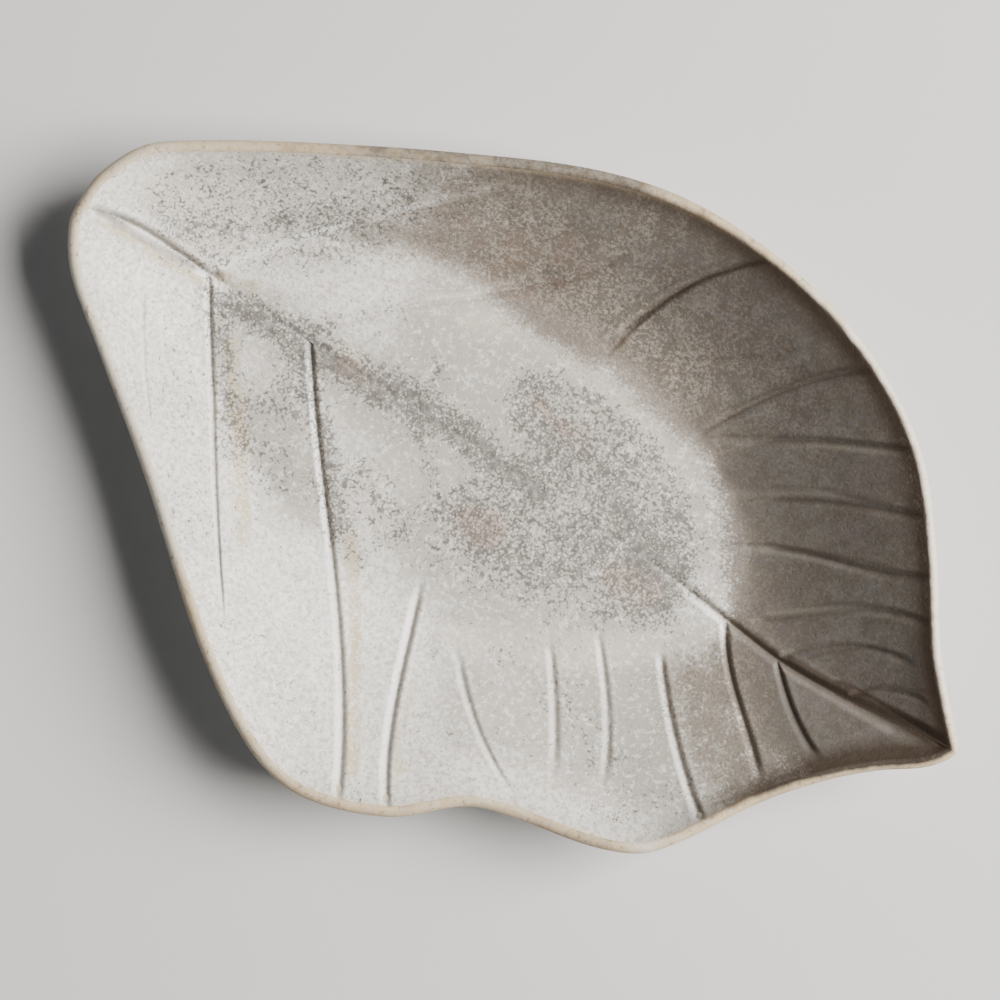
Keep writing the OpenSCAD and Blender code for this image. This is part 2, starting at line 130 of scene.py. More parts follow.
# Share of a column over which a groove eases in or out
GROOVE_RUN_SHARE = 0.12
# A groove's two flanks, as shares of half its width: the long one and the steep one. The long
# one's rise is a power of its length.
LONG_FLANK_SHARE = 1.25
STEEP_FLANK_SHARE = 1.1
LONG_FLANK_POWER = 1.35
# The low bank beside the steep flank: its height as a share of the groove's depth, and its place
# and spread as shares of half the groove's width
BANK_HEIGHT_SHARE = 0.08
BANK_PLACE = 1.3
BANK_SPREAD = 0.45
# The painted shade at the foot of the steep flank, as shares of half the groove's width
CREASE_PLACE = 0.38
CREASE_SPREAD = 0.46
# Distances from the lip's inner edge between which the veins come to their full depth: the start,
# which is below nought so that a trace is left at the edge, and the lower and upper side's ends
FADE_START = -0.0004
LOWER_FADE = 0.0013
UPPER_FADE = 0.0036
# Where a column's bend starts to ease in: just below nought, so that a vein that starts at the
# midrib is bent in full
BEND_START = -0.001
# How much wider the midrib's groove is at the tip than elsewhere, and where it starts to widen
TIP_FLARE_SHARE = 1.1
TIP_FLARE_START = 0.84
# The midrib's shares of depth at which the painted highlight on its long flank and the painted shade at the
# foot of its steep flank start and are full
MIDRIB_TINT_LEVELS = (0.3, 0.9)

# Fine veins between the side veins: start and end as shares of the leaf's length, and bow
CROSS_VEIN_SHARES = (
    ((0.335, 0.219), (0.371, 0.212), 0.06),
    ((0.571, 0.295), (0.596, 0.273), 0.05),
    ((0.665, 0.235), (0.681, 0.224), 0.00),
    ((0.452, 0.288), (0.507, 0.272), 0.10),
    ((0.620, 0.190), (0.646, 0.181), 0.04),
    ((0.520, 0.205), (0.560, 0.178), -0.08),
)
# Shares of a fine vein between which it eases in and eases out
CROSS_VEIN_OPENING = (-0.1, 0.25)
CROSS_VEIN_CLOSING = (0.75, 1.1)

# A column's shape is nine values: its place on the midrib, then for each side the first four
# values of a vein. These are the numbers of the first value of the upper and the lower side.
COLUMN_VALUES = 9
UPPER = 1
LOWER = 5
# The two sides, in the order in which a column crosses them
SIDES = (-1, 1)

# How the surfaces are divided.

# Rows from the midrib to each margin, crowded towards the midrib by a power. Where glaze and clay
# meet, both have only every fourth row, and lie lower so that the clay doesn't show through.
ROWS = 72
ROW_POWER = 1.5
HIDDEN_ROW_STEP = 4
HIDDEN_DROP = 0.0003
# Columns on each side of a vein's line, out to this many times half its groove's width
GROOVE_COLUMNS = 8
GROOVE_REACH = 1.65
# Width of the columns between the veins, and the columns of the last gap, crowded towards the tip
COLUMN_STEP = 0.0013
TIP_COLUMNS = 24
TIP_COLUMN_POWER = 1.6
# Steps round the lip and rings of the underside
NOSE_STEPS = 14
UNDER_RINGS = 16
# Steps of the tables that are looked up, and parts in which distances to the margin are worked out
REACH_STEPS = 400
MARGIN_STEPS = 900
DISTANCE_BLOCKS = 24
# Steps round the panel inside the foot ring, round the foot ring and round its corners
PANEL_STEPS = 160
FOOT_STEPS = 240
CORNER_STEPS = 7
# Edges sharper than this aren't shaded smooth
SHARP_ANGLE = math.radians(60)
# How far the leaf's outline may lie from the solid model's
OUTLINE_TOLERANCE = 0.001

# How a coat of glaze ends: its thickness at the very edge and one ring further in, as shares of
# its full one, then the places of its rings. Beside the lip these are shares of the way from the
# well's edge, with the share where its even rings start, and beside the foot ring they are
# multiples of the bare strip.
COAT_EDGE_SHARE = 0.1
COAT_NEXT_SHARE = 0.65
COAT_EDGE_RINGS = (1, 0.985, 0.96)
COAT_BODY_START = 0.93
COAT_STRIP_RINGS = (2.2, 1.3, 1)
# Rings of the panel inside the foot ring, by their distance from its edge, how much of its room
# they may take, and the distances between which it thickens
PANEL_INSETS = (0, 0.0003, 0.001, 0.003, 0.006, 0.010, 0.015, 0.020)
PANEL_ROOM_SHARE = 0.9
PANEL_THICKENING = (-0.0003, 0.001)

# Where the glaze's markings lie. A stroke is its half width, its strength and the places of
# its line, in pixels of a 1000 pixel picture that looks straight down on the plate.
SPECK_STROKES = (
    (19, 1.00, (236, 304), (280, 328), (313, 350), (353, 372), (393, 394), (420, 407), (470, 440)),
    (19, 1.00, (380, 384), (460, 430), (493, 460), (540, 490)),
    (9, 0.70, (206, 288), (236, 300)),
    (9, 0.80, (287, 322), (330, 321)),
    (5, 0.60, (356, 312), (380, 304), (410, 303)),
    (11, 0.70, (424, 400), (434, 368)),
    (11, 0.80, (207, 290), (212, 330), (220, 390), (226, 450)),
    (12, 0.95, (293, 335), (303, 378), (318, 430), (329, 487), (336, 530)),
    (17, 0.60, (280, 372), (288, 410)),
    (26, 0.50, (250, 400), (262, 470)),
    (14, 0.55, (300, 480), (350, 560)),
    (24, 0.62, (364, 480), (390, 530)),
    (7, 0.90, (412, 422), (420, 445), (428, 465)),
    (10, 0.55, (430, 480), (428, 560)),
    (40, 0.80, (540, 402), (600, 436), (648, 482), (672, 548)),
    (46, 0.80, (560, 480), (615, 540), (645, 580)),
    (42, 0.76, (485, 515), (560, 556)),
    (24, 0.60, (452, 505), (490, 535)),
    (30, 0.55, (462, 560), (560, 588)),
    (26, 0.80, (612, 520), (668, 580)),
    (14, 0.70, (680, 540), (700, 600)),
    (18, 0.60, (600, 612), (664, 622)),
    (11, 0.70, (545, 268), (562, 273)),
    (6, 0.55, (318, 225), (345, 216), (378, 211)),
    (7, 0.70, (496, 655), (508, 664)),
    (24, 0.35, (560, 700), (600, 760)),
    (16, 0.45, (610, 815), (700, 790)),
    (28, 0.40, (400, 190), (520, 200), (620, 200)),
    (40, 0.50, (185, 200), (300, 188), (380, 195)),
    (30, 0.46, (200, 240), (330, 228)),
    (46, 0.26, (150, 235), (190, 330), (200, 430), (215, 520)),
    (30, 0.25, (240, 620), (290, 730)),
)
TAUPE_STROKES = (
    (17, 0.62, (362, 226), (410, 232), (470, 252)),
    (30, 0.62, (455, 226), (505, 240), (550, 268)),
    (16, 0.48, (470, 200), (545, 192)),
    (14, 0.40, (480, 176), (560, 184)),
    (22, 0.85, (560, 312), (600, 332)),
    (
        60, 1.00, (540, 250), (608, 286), (649, 312), (703, 366), (764, 418), (790, 488),
        (795, 600), (806, 640),
    ),
    (
        60, 1.00, (560, 205), (650, 235), (740, 290), (810, 360), (850, 450), (870, 560),
        (880, 660), (930, 740),
    ),
    (22, 0.85, (780, 668), (850, 728), (930, 752)),
    (40, 0.95, (780, 680), (815, 722), (860, 740)),
    (40, 0.80, (800, 690), (830, 740)),
    (26, 0.66, (748, 655), (772, 750)),
    (34, 0.54, (700, 690), (735, 780)),
    (34, 0.36, (430, 190), (500, 180), (600, 195)),
    (40, 0.85, (590, 235), (650, 262)),
)
# Partly the thinnest glaze and partly painted shade: the darkest taupe along the wall beside the lip that
# faces away from the key light, and at the tip
DEEP_AND_SHADE_STROKES = (
    (60, 0.40, (600, 225), (680, 280), (760, 360), (790, 480)),
    (56, 0.95, (745, 290), (810, 372), (850, 450), (872, 560), (885, 660), (935, 745)),
    (80, 0.70, (800, 470), (820, 600), (850, 690)),
    (30, 0.85, (860, 738), (930, 752)),
    (24, 0.65, (790, 690), (850, 730)),
    (50, 0.52, (590, 230), (660, 270)),
    (36, 0.90, (880, 690), (930, 742)),
    (30, 0.80, (830, 735), (900, 750)),
)
FLECK_STROKES = (
    (46, 1.00, (400, 235), (480, 240), (560, 250), (640, 290), (700, 350)),
    (40, 0.60, (640, 240), (730, 320), (790, 420)),
)
RUST_STROKES = (
    (9, 0.9, (338, 363), (352, 371)),
    (20, 0.9, (474, 523), (490, 530)),
    (14, 0.5, (572, 430), (590, 446)),
    (22, 0.6, (622, 580), (650, 590)),
    (6, 0.9, (536, 398), (548, 412), (560, 426)),
    (8, 0.5, (500, 418), (512, 424)),
    (40, 0.28, (420, 240), (520, 262), (600, 262)),
)
CREAM_STROKES = (
    (8, 0.45, (445, 440), (450, 500), (450, 560)),
    (13, 0.40, (470, 320), (540, 336), (620, 394), (694, 480)),
    (13, 0.40, (425, 300), (500, 311)),
    (22, 0.40, (470, 640), (560, 655), (660, 650)),
    (20, 0.45, (160, 190), (200, 200)),
    (12, 0.60, (340, 350), (370, 380)),
)
STRAW_STROKES = (
    (7, 0.70, (97, 217), (140, 244), (188, 274)),
    (8, 0.60, (214, 270), (250, 284)),
    (9, 0.75, (224, 340), (232, 430), (240, 540)),
    (8, 0.75, (346, 540), (353, 640), (351, 770)),
    (6, 0.5, (412, 690), (396, 740), (396, 800)),
    (12, 0.4, (405, 768), (470, 790)),
    (14, 0.30, (200, 480), (215, 600)),
)
# Partly real brown stains in the veins and partly painted shade on their steep flanks, along the midrib and
# the veins of the wall that faces away from the key light
BROWN_AND_SHADE_STROKES = (
    (4.5, 0.70, (98, 211), (140, 236), (186, 262)),
    (4.0, 0.55, (206, 266), (213, 269)),
    (6.0, 0.30, (213, 269), (246, 282)),
    (5.0, 0.30, (439, 626), (430, 660)),
    (3.0, 0.55, (736, 612), (769, 642), (800, 670), (852, 699)),
    (5.0, 0.80, (796, 663), (850, 694)),
    (8.5, 1.00, (845, 691), (900, 719), (947, 745)),
    (3.0, 0.75, (612, 352), (640, 322), (672, 296), (704, 277), (746, 265), (768, 262)),
    (3.0, 0.55, (712, 430), (746, 402), (785, 386), (820, 373), (859, 366)),
    (3.0, 0.45, (780, 487), (830, 489), (896, 506), (921, 514)),
    (3.0, 0.45, (735, 434), (822, 436), (909, 447)),
    (3.0, 0.50, (735, 544), (782, 545), (831, 554), (880, 565), (924, 576)),
    (3.0, 0.45, (782, 609), (855, 604), (896, 608), (927, 621)),
    (3.0, 0.45, (797, 668), (833, 655), (871, 648), (904, 656)),
    (3.0, 0.45, (858, 697), (886, 686), (922, 691)),
)
# Painted shade: strokes that grey the glaze over the well and other broad areas, so that they look darker
# beside the walls that face the key light
GREY_SHADE_STROKES = (
    (90, 0.80, (480, 330), (570, 420), (650, 500), (610, 560), (480, 540)),
    (40, 0.95, (520, 440), (590, 480), (640, 540), (640, 590)),
    (50, 0.50, (400, 420), (430, 520)),
    (45, 0.80, (262, 420), (290, 490)),
    (30, 1.00, (262, 318), (340, 366), (440, 424), (530, 484)),
    (10, 0.60, (240, 304), (300, 340), (360, 378), (440, 424), (520, 474)),
    (22, 0.70, (690, 420), (718, 490), (722, 590)),
    (60, 0.90, (690, 680), (745, 780)),
    (40, 0.60, (590, 730), (650, 790)),
    (34, 0.60, (440, 170), (560, 185)),
    (36, 0.40, (372, 410), (385, 440)),
    (70, 0.70, (500, 700), (600, 735), (700, 735)),
    (40, 0.80, (690, 690), (745, 770)),
    (40, 0.55, (320, 172), (430, 180)),
)
# Painted highlight: where a ridge or a flank faces the key light and is painted paler than the glaze around
# it
PALE_HIGHLIGHT_STROKES = (
    (2.5, 0.80, (204, 268), (240, 249), (300, 229), (380, 209), (430, 199), (497, 184)),
    (3.0, 0.18, (735, 441), (822, 443), (895, 454)),
    (3.0, 0.18, (735, 551), (782, 552), (831, 562), (880, 573)),
    (3.0, 0.22, (775, 616), (855, 611), (890, 615)),
    (3.0, 0.15, (735, 493), (780, 494), (830, 496), (885, 511)),
    (3.0, 0.18, (720, 432), (750, 408), (785, 393), (822, 380)),
    (4.0, 0.26, (728, 618), (766, 652), (800, 680), (850, 707), (890, 730)),
    (3.0, 0.40, (530, 268), (470, 290), (427, 292)),
)
# Each marking's strokes and how soft their sides are, in pixels
MARKINGS = {
    "grey": (GREY_SHADE_STROKES, 40),
    "pale": (PALE_HIGHLIGHT_STROKES, 3.5),
    "specks": (SPECK_STROKES, 14),
    "taupe": (TAUPE_STROKES, 26),
    "deep_and_shade": (DEEP_AND_SHADE_STROKES, 78),
    "flecks": (FLECK_STROKES, 26),
    "rust": (RUST_STROKES, 11),
    "cream": (CREAM_STROKES, 11),
    "straw": (STRAW_STROKES, 5.5),
    "brown": (BROWN_AND_SHADE_STROKES, 3.5),
}
# How far the lip's clay is toasted, along each side from the stem end to the tip
UPPER_TOAST_SHARES = (
    (0, 0.30), (0.05, 0.30), (0.10, 0.36), (0.14, 0.46), (0.21, 0.62), (0.25, 0.85), (0.33, 0.85),
    (0.40, 1.00), (0.45, 0.95), (0.50, 0.60), (0.57, 0.48), (0.62, 0.28), (0.68, 0.12), (0.95, 0.10),
    (1, 0.40),
)
LOWER_TOAST_SHARES = (
    (0, 0.25), (0.08, 0.12), (0.25, 0.08), (0.32, 0.35), (0.42, 0.30), (0.48, 0.45), (0.56, 0.55),
    (0.60, 0.42), (0.64, 0.30), (0.67, 0.60), (0.72, 0.66), (0.75, 0.12), (0.79, 0.45), (0.84, 0.60),
    (0.95, 0.60), (1, 0.40),
)
# How far the glaze beside the lip is darkened to near black brown, along each side: partly a real break of
# the glaze over the clay and partly painted shade where the wall curls up to the lip on the sides that face
# away from the key light. Above one it reaches further over the lip.
UPPER_SCORCH_AND_SHADE_SHARES = (
    (0, 0.05), (0.24, 0.15), (0.36, 0.45), (0.46, 0.75), (0.55, 0.95), (0.64, 1.1), (0.97, 1.05),
    (1, 1.1),
)
LOWER_SCORCH_AND_SHADE_SHARES = (
    (0, 0.05), (0.45, 0.05), (0.52, 0.20), (0.60, 0.15), (0.64, 0.10), (0.74, 0.25), (0.80, 0.65),
    (0.86, 1.05), (0.93, 1.40), (0.97, 1.35), (1, 1.1),
)

# Where the photograph shows the leaf, in its 1000 pixel frame.
PICTURE_SIDE_PX = 1000
STEM_PX = (78, 201)
TIP_PX = (957, 752)


def length(name, description, default):
    """A property for a size in metres."""
    return FloatProperty(name=name, description=description, default=default, unit="LENGTH", precision=4)


def share(name, description, default):
    """A property for a share between none and all."""
    return FloatProperty(
        name=name, description=description, default=default, subtype="FACTOR", min=0, max=1,
    )


def colour(name, description, default):
    """A property for a linear colour."""
    return FloatVectorProperty(
        name=name, description=description, default=default, subtype="COLOR", min=0, max=1,
    )


class PlateSizes(PropertyGroup):
    """The sizes of the plate, in metres."""

    leaf_length: length("Leaf length", "From the stem end to the tip", 0.240)
    leaf_width: length("Leaf width", "Across the two sides", 0.165)
    rim_height: length("Rim height", "Height of the rim above the table", 0.028)
    well_length: length("Well length", "Length of the flat well along the midrib", 0.142)
    well_width: length("Well width", "Width of the flat well", 0.076)
    floor_thickness: length("Floor thickness", "Thickness of the clay in the well", 0.005)
    lip_thickness: length("Lip thickness", "Thickness of the clay at the lip", 0.0036)
    lip_nose: length("Lip nose", "How far the lip's rounded nose stands out", 0.0016)
    tip_round: length("Tip round", "How far before its end the tip starts to round", 0.0021)
    midrib_width: length("Midrib width", "Width of the midrib's groove", 0.003)
    midrib_depth: length("Midrib depth", "Depth of the midrib's groove", 0.0014)
    vein_width: length("Vein width", "Width of a side vein's groove, along the leaf", 0.003)
    vein_depth: length("Vein depth", "Depth of a side vein's groove", 0.0012)
    cross_width: length("Cross vein width", "Width of the fine veins between the side veins", 0.0022)
    cross_depth: length("Cross vein depth", "Depth of the fine veins between the side veins", 0.0004)
    top_coat: length("Top coat", "Thickness of the glaze on the upper face", 0.0005)
    under_coat: length("Under coat", "Thickness of the glaze underneath", 0.0004)
    coat_taper: length("Coat taper", "How far from its edge a coat of glaze is thinner", 0.004)
    bare_strip: length("Bare strip", "Bare clay between the glaze and the foot ring", 0.001)
    foot_height: length("Foot height", "Height of the foot ring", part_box("foot_ring")[1].z)
    foot_wall: length("Foot wall", "Thickness of the foot ring where it meets the slab", 0.006)
    foot_inset: length("Foot inset", "From the edge of the well in to the foot ring", 0.004)
    foot_slope: length("Foot slope", "Width of the slope on each side of the foot ring", 0.0012)
    foot_round: length("Foot round", "Radius that the foot ring's lower corners are wiped to", 0.0008)
    unevenness: length("Unevenness", "How far the hand pressed surface strays", 0.00022)


class PlateFinish(PropertyGroup):
    """The colours and textures of clay and glaze."""

    glaze: colour("Glaze", "The glaze where it is thick and clean", (0.84, 0.82, 0.775))
    cool_glaze: colour("Cool glaze", "The glaze where it clouds to grey", (0.69, 0.68, 0.655))
    # Painted shade: the grey strokes darken the glaze to this colour over the well, and dense specks grey
    # it too
    grey_and_shade_glaze: colour("Grey glaze", "The glaze where it is thinner, in the well", (0.40, 0.385, 0.355))
    # This colour also paints the highlight on the veins' long flanks and on the pale ridges
    white_and_highlight: colour("White", "White flecks in the glaze", (0.90, 0.895, 0.87))
    speck: colour("Specks", "Iron specks in the glaze", (0.088, 0.084, 0.076))
    taupe: colour("Taupe", "The glaze where it is thin over the walls", (0.155, 0.128, 0.103))
    # Partly the thinnest glaze's own colour and partly painted shade on the wall that faces away from the
    # key light
    deep_taupe_and_shade: colour("Deep taupe", "The glaze where it is thinnest", (0.036, 0.029, 0.0225))
    slate: colour("Slate", "Blue-grey clouds in the thinnest glaze", (0.085, 0.085, 0.080))
    mauve: colour("Mauve", "Purplish clouds in the thinnest glaze", (0.075, 0.055, 0.057))
    # This colour also paints the highlight on the ridges of the thin glaze
    fleck_and_highlight: colour("Flecks", "Pale flecks in the thin glaze", (0.40, 0.36, 0.31))
    rust: colour("Rust", "Reddish patches", (0.37, 0.215, 0.155))
    cream: colour("Cream", "Warm pale patches", (0.70, 0.61, 0.505))
    straw: colour("Straw", "Yellowish speckle beside the veins", (0.54, 0.455, 0.30))
    # This brown also paints the shade at the foot of each vein's steep flank
    groove: colour("Groove", "Brown in the bottom of the veins", (0.085, 0.060, 0.040))
    clay: colour("Clay", "Pale bare clay", (0.63, 0.575, 0.485))
    toasted_clay: colour("Toasted clay", "Bare clay where the kiln toasted it", (0.50, 0.38, 0.23))
    burnt_clay: colour("Burnt clay", "Bare clay where the kiln toasted it most", (0.105, 0.077, 0.047))
    # Partly glaze that breaks dark brown over the clay beside the lip and partly painted shade on the lip's
    # inner edge and the wall below it
    scorch_and_shade: colour("Scorch", "Darkest clay, where glaze breaks beside the lip", (0.030, 0.019, 0.011))
    foot_clay: colour("Foot clay", "Bare clay of the foot ring", (0.36, 0.265, 0.165))
    glaze_roughness: share("Glaze roughness", "How matt the glaze is", 0.46)
    clay_roughness: share("Clay roughness", "How matt the bare clay is", 0.72)
    speck_size: length("Speck size", "Spacing of the iron specks", 0.00072)
    fleck_size: length("Fleck size", "Spacing of the pale flecks", 0.00078)


class PlateStudio(PropertyGroup):
    """The floor, the lights and the camera."""

    floor: colour("Floor", "The pale floor", (0.60, 0.60, 0.60))
    floor_roughness: share("Floor roughness", "How matt the floor is", 0.85)
    floor_side: length("Floor side", "Side of the square floor", 8.0)
    camera_height: length("Camera height", "Height of the camera above the table", 0.62)
    picture_plane: length("Picture plane", "Height of the lip's edge, where pixels are to scale", 0.0244)
    key_bearing: FloatProperty(
        name="Key bearing", description="Turn of the key light from the picture's right towards its top",
        default=math.radians(5), subtype="ANGLE",
    )
    key_height: FloatProperty(
        name="Key height", description="Height of the key light above the horizon",
        default=math.radians(44), subtype="ANGLE",
    )
    key_distance: length("Key distance", "From the plate to the key light", 1.3)
    key_side: length("Key side", "Side of the square key light", 0.85)
    key_power: FloatProperty(
        name="Key power", description="Power of the key light", default=58.0, unit="POWER",
    )
    key_colour: colour("Key colour", "Colour of the key light", (1.0, 0.965, 0.91))
    sky_strength: FloatProperty(name="Sky strength", description="Strength of the even light", default=0.10)
    sky_colour: colour("Sky colour", "Colour of the even light", (0.90, 0.95, 1.0))


def ease(low, high, x):
    """Nought below low, one above high, and between them 3 t squared less 2 t cubed."""
    t = np.clip((x - low) / (high - low), 0, 1)
    return t * t * (3 - 2 * t)


class Curve:
    """A smooth curve through points.

    Its places are running lengths in plan. Between two points it is the cubic whose slope at a
    point is that of the line between the point's two neighbours.
    """

    def __init__(self, points):
        self.points = np.asarray(points, float)
        steps = np.linalg.norm(np.diff(self.points[:, :2], axis=0), axis=1)
        self.places = np.concatenate(([0], np.cumsum(steps)))
        index = np.arange(len(self.points))
        before = np.maximum(index - 1, 0)
        after = np.minimum(index + 1, len(index) - 1)
        run = self.places[after] - self.places[before]
        self.slopes = (self.points[after] - self.points[before]) / run[:, None]
        self.end = self.places[-1]

    def at(self, place):
        """The curve at running lengths: the points and slopes at both ends of their piece, each
        times its cubic of the share u of the piece."""
        place = np.clip(np.asarray(place, float), 0, self.end)
        i = np.clip(np.searchsorted(self.places, place, side="right") - 1, 0, len(self.points) - 2)
        run = self.places[i + 1] - self.places[i]
        u = ((place - self.places[i]) / run)[..., None]
        run = run[..., None]
        return (
            (2 * u**3 - 3 * u**2 + 1) * self.points[i] + (u**3 - 2 * u**2 + u) * run * self.slopes[i]
            + (3 * u**2 - 2 * u**3) * self.points[i + 1] + (u**3 - u**2) * run * self.slopes[i + 1]
        )


def oval_reach(angle, oval_length, oval_width):
    """How far an oval's edge lies from its centre in each direction: one over the root of the sum
    of the squares of the direction's two parts, each over its half axis."""
    return 1 / np.hypot(2 * np.cos(angle) / oval_length, 2 * np.sin(angle) / oval_width)


class Leaf:
    """The form of the plate, as functions of places in plan.

    The margin is one curve from the tip along the lower side to the stem end, and on along the
    upper side. A side is -1 for the lower one and 1 for the upper one. Places are in the leaf's
    own plan, with the stem end at nought, and shift moves them to the frame of the solid model.
    """

    def __init__(self, sizes):
        self.sizes = sizes
        scale = np.array((sizes.leaf_length, sizes.leaf_width, sizes.rim_height))
        shares = LOWER_MARGIN_SHARES[::-1] + UPPER_MARGIN_SHARES[1:]
        self.margin = Curve(np.array(shares) * scale)
        self.lower_run = self.margin.places[len(LOWER_MARGIN_SHARES) - 1]
        self.upper_run = self.margin.end - self.lower_run
        self.floor_top = sizes.foot_height + sizes.floor_thickness
        self.well_centre = np.array((sizes.leaf_length * WELL_CENTRE_SHARE, 0.0))
        # The lip's section is half an ellipse. Its outermost place lies the root of two squares
        # from its middle, those of the runs of its half thickness and of its nose, and its inner
        # edge lies the half thickness's run further in.
        half_run = sizes.lip_thickness / 2 * math.sin(LIP_TILT)
        self.lip_reach = half_run + math.hypot(half_run, sizes.lip_nose * math.cos(LIP_TILT))
        self.under_reach = self.lip_reach - 2 * half_run
        places = np.linspace(0, 1, REACH_STEPS)
        self.tables = {side: self.seen_from_centre(side, places) for side in SIDES}
        self.stem_in = self.inset(self.lower_run, self.lip_reach)
        self.tip_in = self.inset(0.0, self.lip_reach)
        reach = self.tip_in[0] - self.stem_in[0]
        self.midrib = Curve([
            (self.stem_in[0] + x * reach, y * sizes.leaf_width) for x, y in MIDRIB_SHARES
        ])
        low, high = self.lip_box()
        self.shift = -(low + high) / 2

    def picture_place(self, plan):
        """Where a place in the leaf's plan lies in the picture, in pixels: the stem end's pixel,
        plus the place's two parts along the line to the tip's pixel and square to it."""
        stem, tip = np.array(STEM_PX, float), np.array(TIP_PX, float)
        ahead = (tip - stem) / self.sizes.leaf_length
        aside = np.array((ahead[1], -ahead[0]))
        return stem + plan[..., :1] * ahead + plan[..., 1:] * aside

    def run_of(self, side, place):
        """The margin's running length at a share of a side, counted from the stem end."""
        return self.lower_run + (place * self.upper_run if side > 0 else -place * self.lower_run)

    def margin_at(self, run):
        """The margin at a running length, which goes round and round."""
        return self.margin.at(np.mod(run, self.margin.end))

    def inward(self, run):
        """The inward direction at the margin, mitred so that an offset keeps its width at the tip.

        It is the sum of the normals of the two short edges that meet there, divided by one plus
        their scalar product. Beside the tip the edges are longer, so that the offsets turn its
        corner without crossing.
        """
        round_run = np.mod(run, self.margin.end)
        from_tip = np.minimum(round_run, self.margin.end - round_run) / self.sizes.leaf_length
        near_tip = 1 - ease(TIP_PROBE_SHARE, TIP_TURN_SHARE, from_tip)
        probe = self.sizes.leaf_length * (PROBE_SHARE + (TIP_PROBE_SHARE - PROBE_SHARE) * near_tip)
        before, here, after = (self.margin_at(run + step)[..., :2] for step in (-probe, 0, probe))
        a, b = (
            np.stack((edge[..., 1], -edge[..., 0]), -1) / np.linalg.norm(edge, axis=-1, keepdims=True)
            for edge in (here - before, after - here)
        )
        return (a + b) / (1 + (a * b).sum(-1, keepdims=True))

    def inset(self, run, distance):
        """The margin moved inward by a distance."""
        return self.margin_at(run)[..., :2] + self.inward(run) * distance

    def bearing(self, plan):
        """The angle at the well's centre between the tip's direction and each place."""
        offset = plan - self.well_centre
        return np.abs(np.arctan2(offset[..., 1], offset[..., 0]))

    def seen_from_centre(self, side, places):
        """The margin's bearing, distance and height from the well's centre, in order of bearing."""
        points = self.margin_at(self.run_of(side, places))
        angle = self.bearing(points[:, :2])
        order = np.argsort(angle)
        away = np.linalg.norm(points[:, :2] - self.well_centre, axis=1)
        return angle[order], away[order], points[order, 2]

    def wall(self, plan):
        """Each place's share of the way from the well's edge to the margin, on the ray from the
        well's centre, with the rim's height and the wall's width on that ray."""
        angle = self.bearing(plan)
        is_upper = plan[..., 1] >= 0
        lower, upper = (
            [np.interp(angle, bearings, numbers) for numbers in (reaches, rises)]
            for bearings, reaches, rises in (self.tables[side] for side in SIDES)
        )
        reach, rise = np.where(is_upper, upper, lower)
        start = oval_reach(angle, self.sizes.well_length, self.sizes.well_width)
        away = np.linalg.norm(plan - self.well_centre, axis=-1)
        return np.clip((away - start) / (reach - start), 0, 1), rise, reach - start

    def stray(self, plan):
        """Unevenness of a hand pressed sheet: three crossing sine waves of about 60, 48 and 27 mm,
        added by their weights."""
        x, y = plan[..., 0], plan[..., 1]
        wander = WANDER_WEIGHT * np.sin(y / WANDER_LENGTH)
        first_length, second_length, third_length = WAVE_LENGTHS
        turns = (
            x / first_length + wander, y / second_length - x / LEAN_LENGTH, (x + y) / third_length,
        )
        waves = sum(
            weight * np.sin(turn + start) for turn, weight, start in zip(turns, WAVE_WEIGHTS, WAVE_STARTS)
        )
        return self.sizes.unevenness * waves / 2

    @staticmethod
    def wall_rise(q):
        """Share of the rise at a share of the wall: a fillet out of the well, then an even slope,
        then a curl to the lip."""
        even = (1 - CURL_SHARE) * (1 + FILLET_SHARE) * q**2 / (q + FILLET_SHARE)
        return even + CURL_SHARE * q**4

    @staticmethod
    def wall_slope(q):
        """The slope of wall_rise, its derivative."""
        scale = (1 - CURL_SHARE) * (1 + FILLET_SHARE)
        even = scale * (q**2 + 2 * q * FILLET_SHARE) / (q + FILLET_SHARE) ** 2
        return even + 4 * CURL_SHARE * q**3

    def dish_height(self, plan):
        """Height of the clay's upper face without its veins: the floor, plus the share of the
        wall's rise, plus the unevenness, which is weaker in the well."""
        q, rise, _ = self.wall(plan)
        height = self.floor_top + (rise - self.floor_top) * self.wall_rise(q)
        return height + self.stray(plan) * (WELL_STRAY_SHARE + (1 - WELL_STRAY_SHARE) * q)

    def under_height(self, plan):
        """Height of the clay's underside: below the face by its thickness square to the wall,
        which is the thickness times the root of one plus the slope squared. The unevenness grows
        from the well outwards."""
        q, rise, width = self.wall(plan)
        slope = (rise - self.floor_top) * self.wall_slope(q) / width
        thickness = self.sizes.floor_thickness + (self.sizes.lip_thickness - self.sizes.floor_thickness) * q
        height = self.floor_top + (rise - self.floor_top) * self.wall_rise(q)
        return height - thickness * np.sqrt(1 + slope**2) + self.stray(plan) * q

    def midrib_at(self, place):
        """The midrib at a share of it: its curve, plus the part of the straight line between the
        inner ends of the leaf that lies off the leaf's axis."""
        straight = self.stem_in + (self.tip_in - self.stem_in) * place[..., None]
        slack = straight - np.stack((straight[..., 0], np.zeros_like(place)), -1)
        return self.midrib.at(place * self.midrib.end) + slack

    def tip_rounded(self, points):
        """Points drawn back from the tip's corner: past the place where its rounding starts, they
        go on along a hyperbolic tangent that never passes the leaf's length."""
        start = self.sizes.leaf_length - self.sizes.tip_round
        past = np.maximum(points[..., 0] - start, 0)
        drawn = points.copy()
        drawn[..., 0] += self.sizes.tip_round * np.tanh(past / self.sizes.tip_round) - past
        return drawn

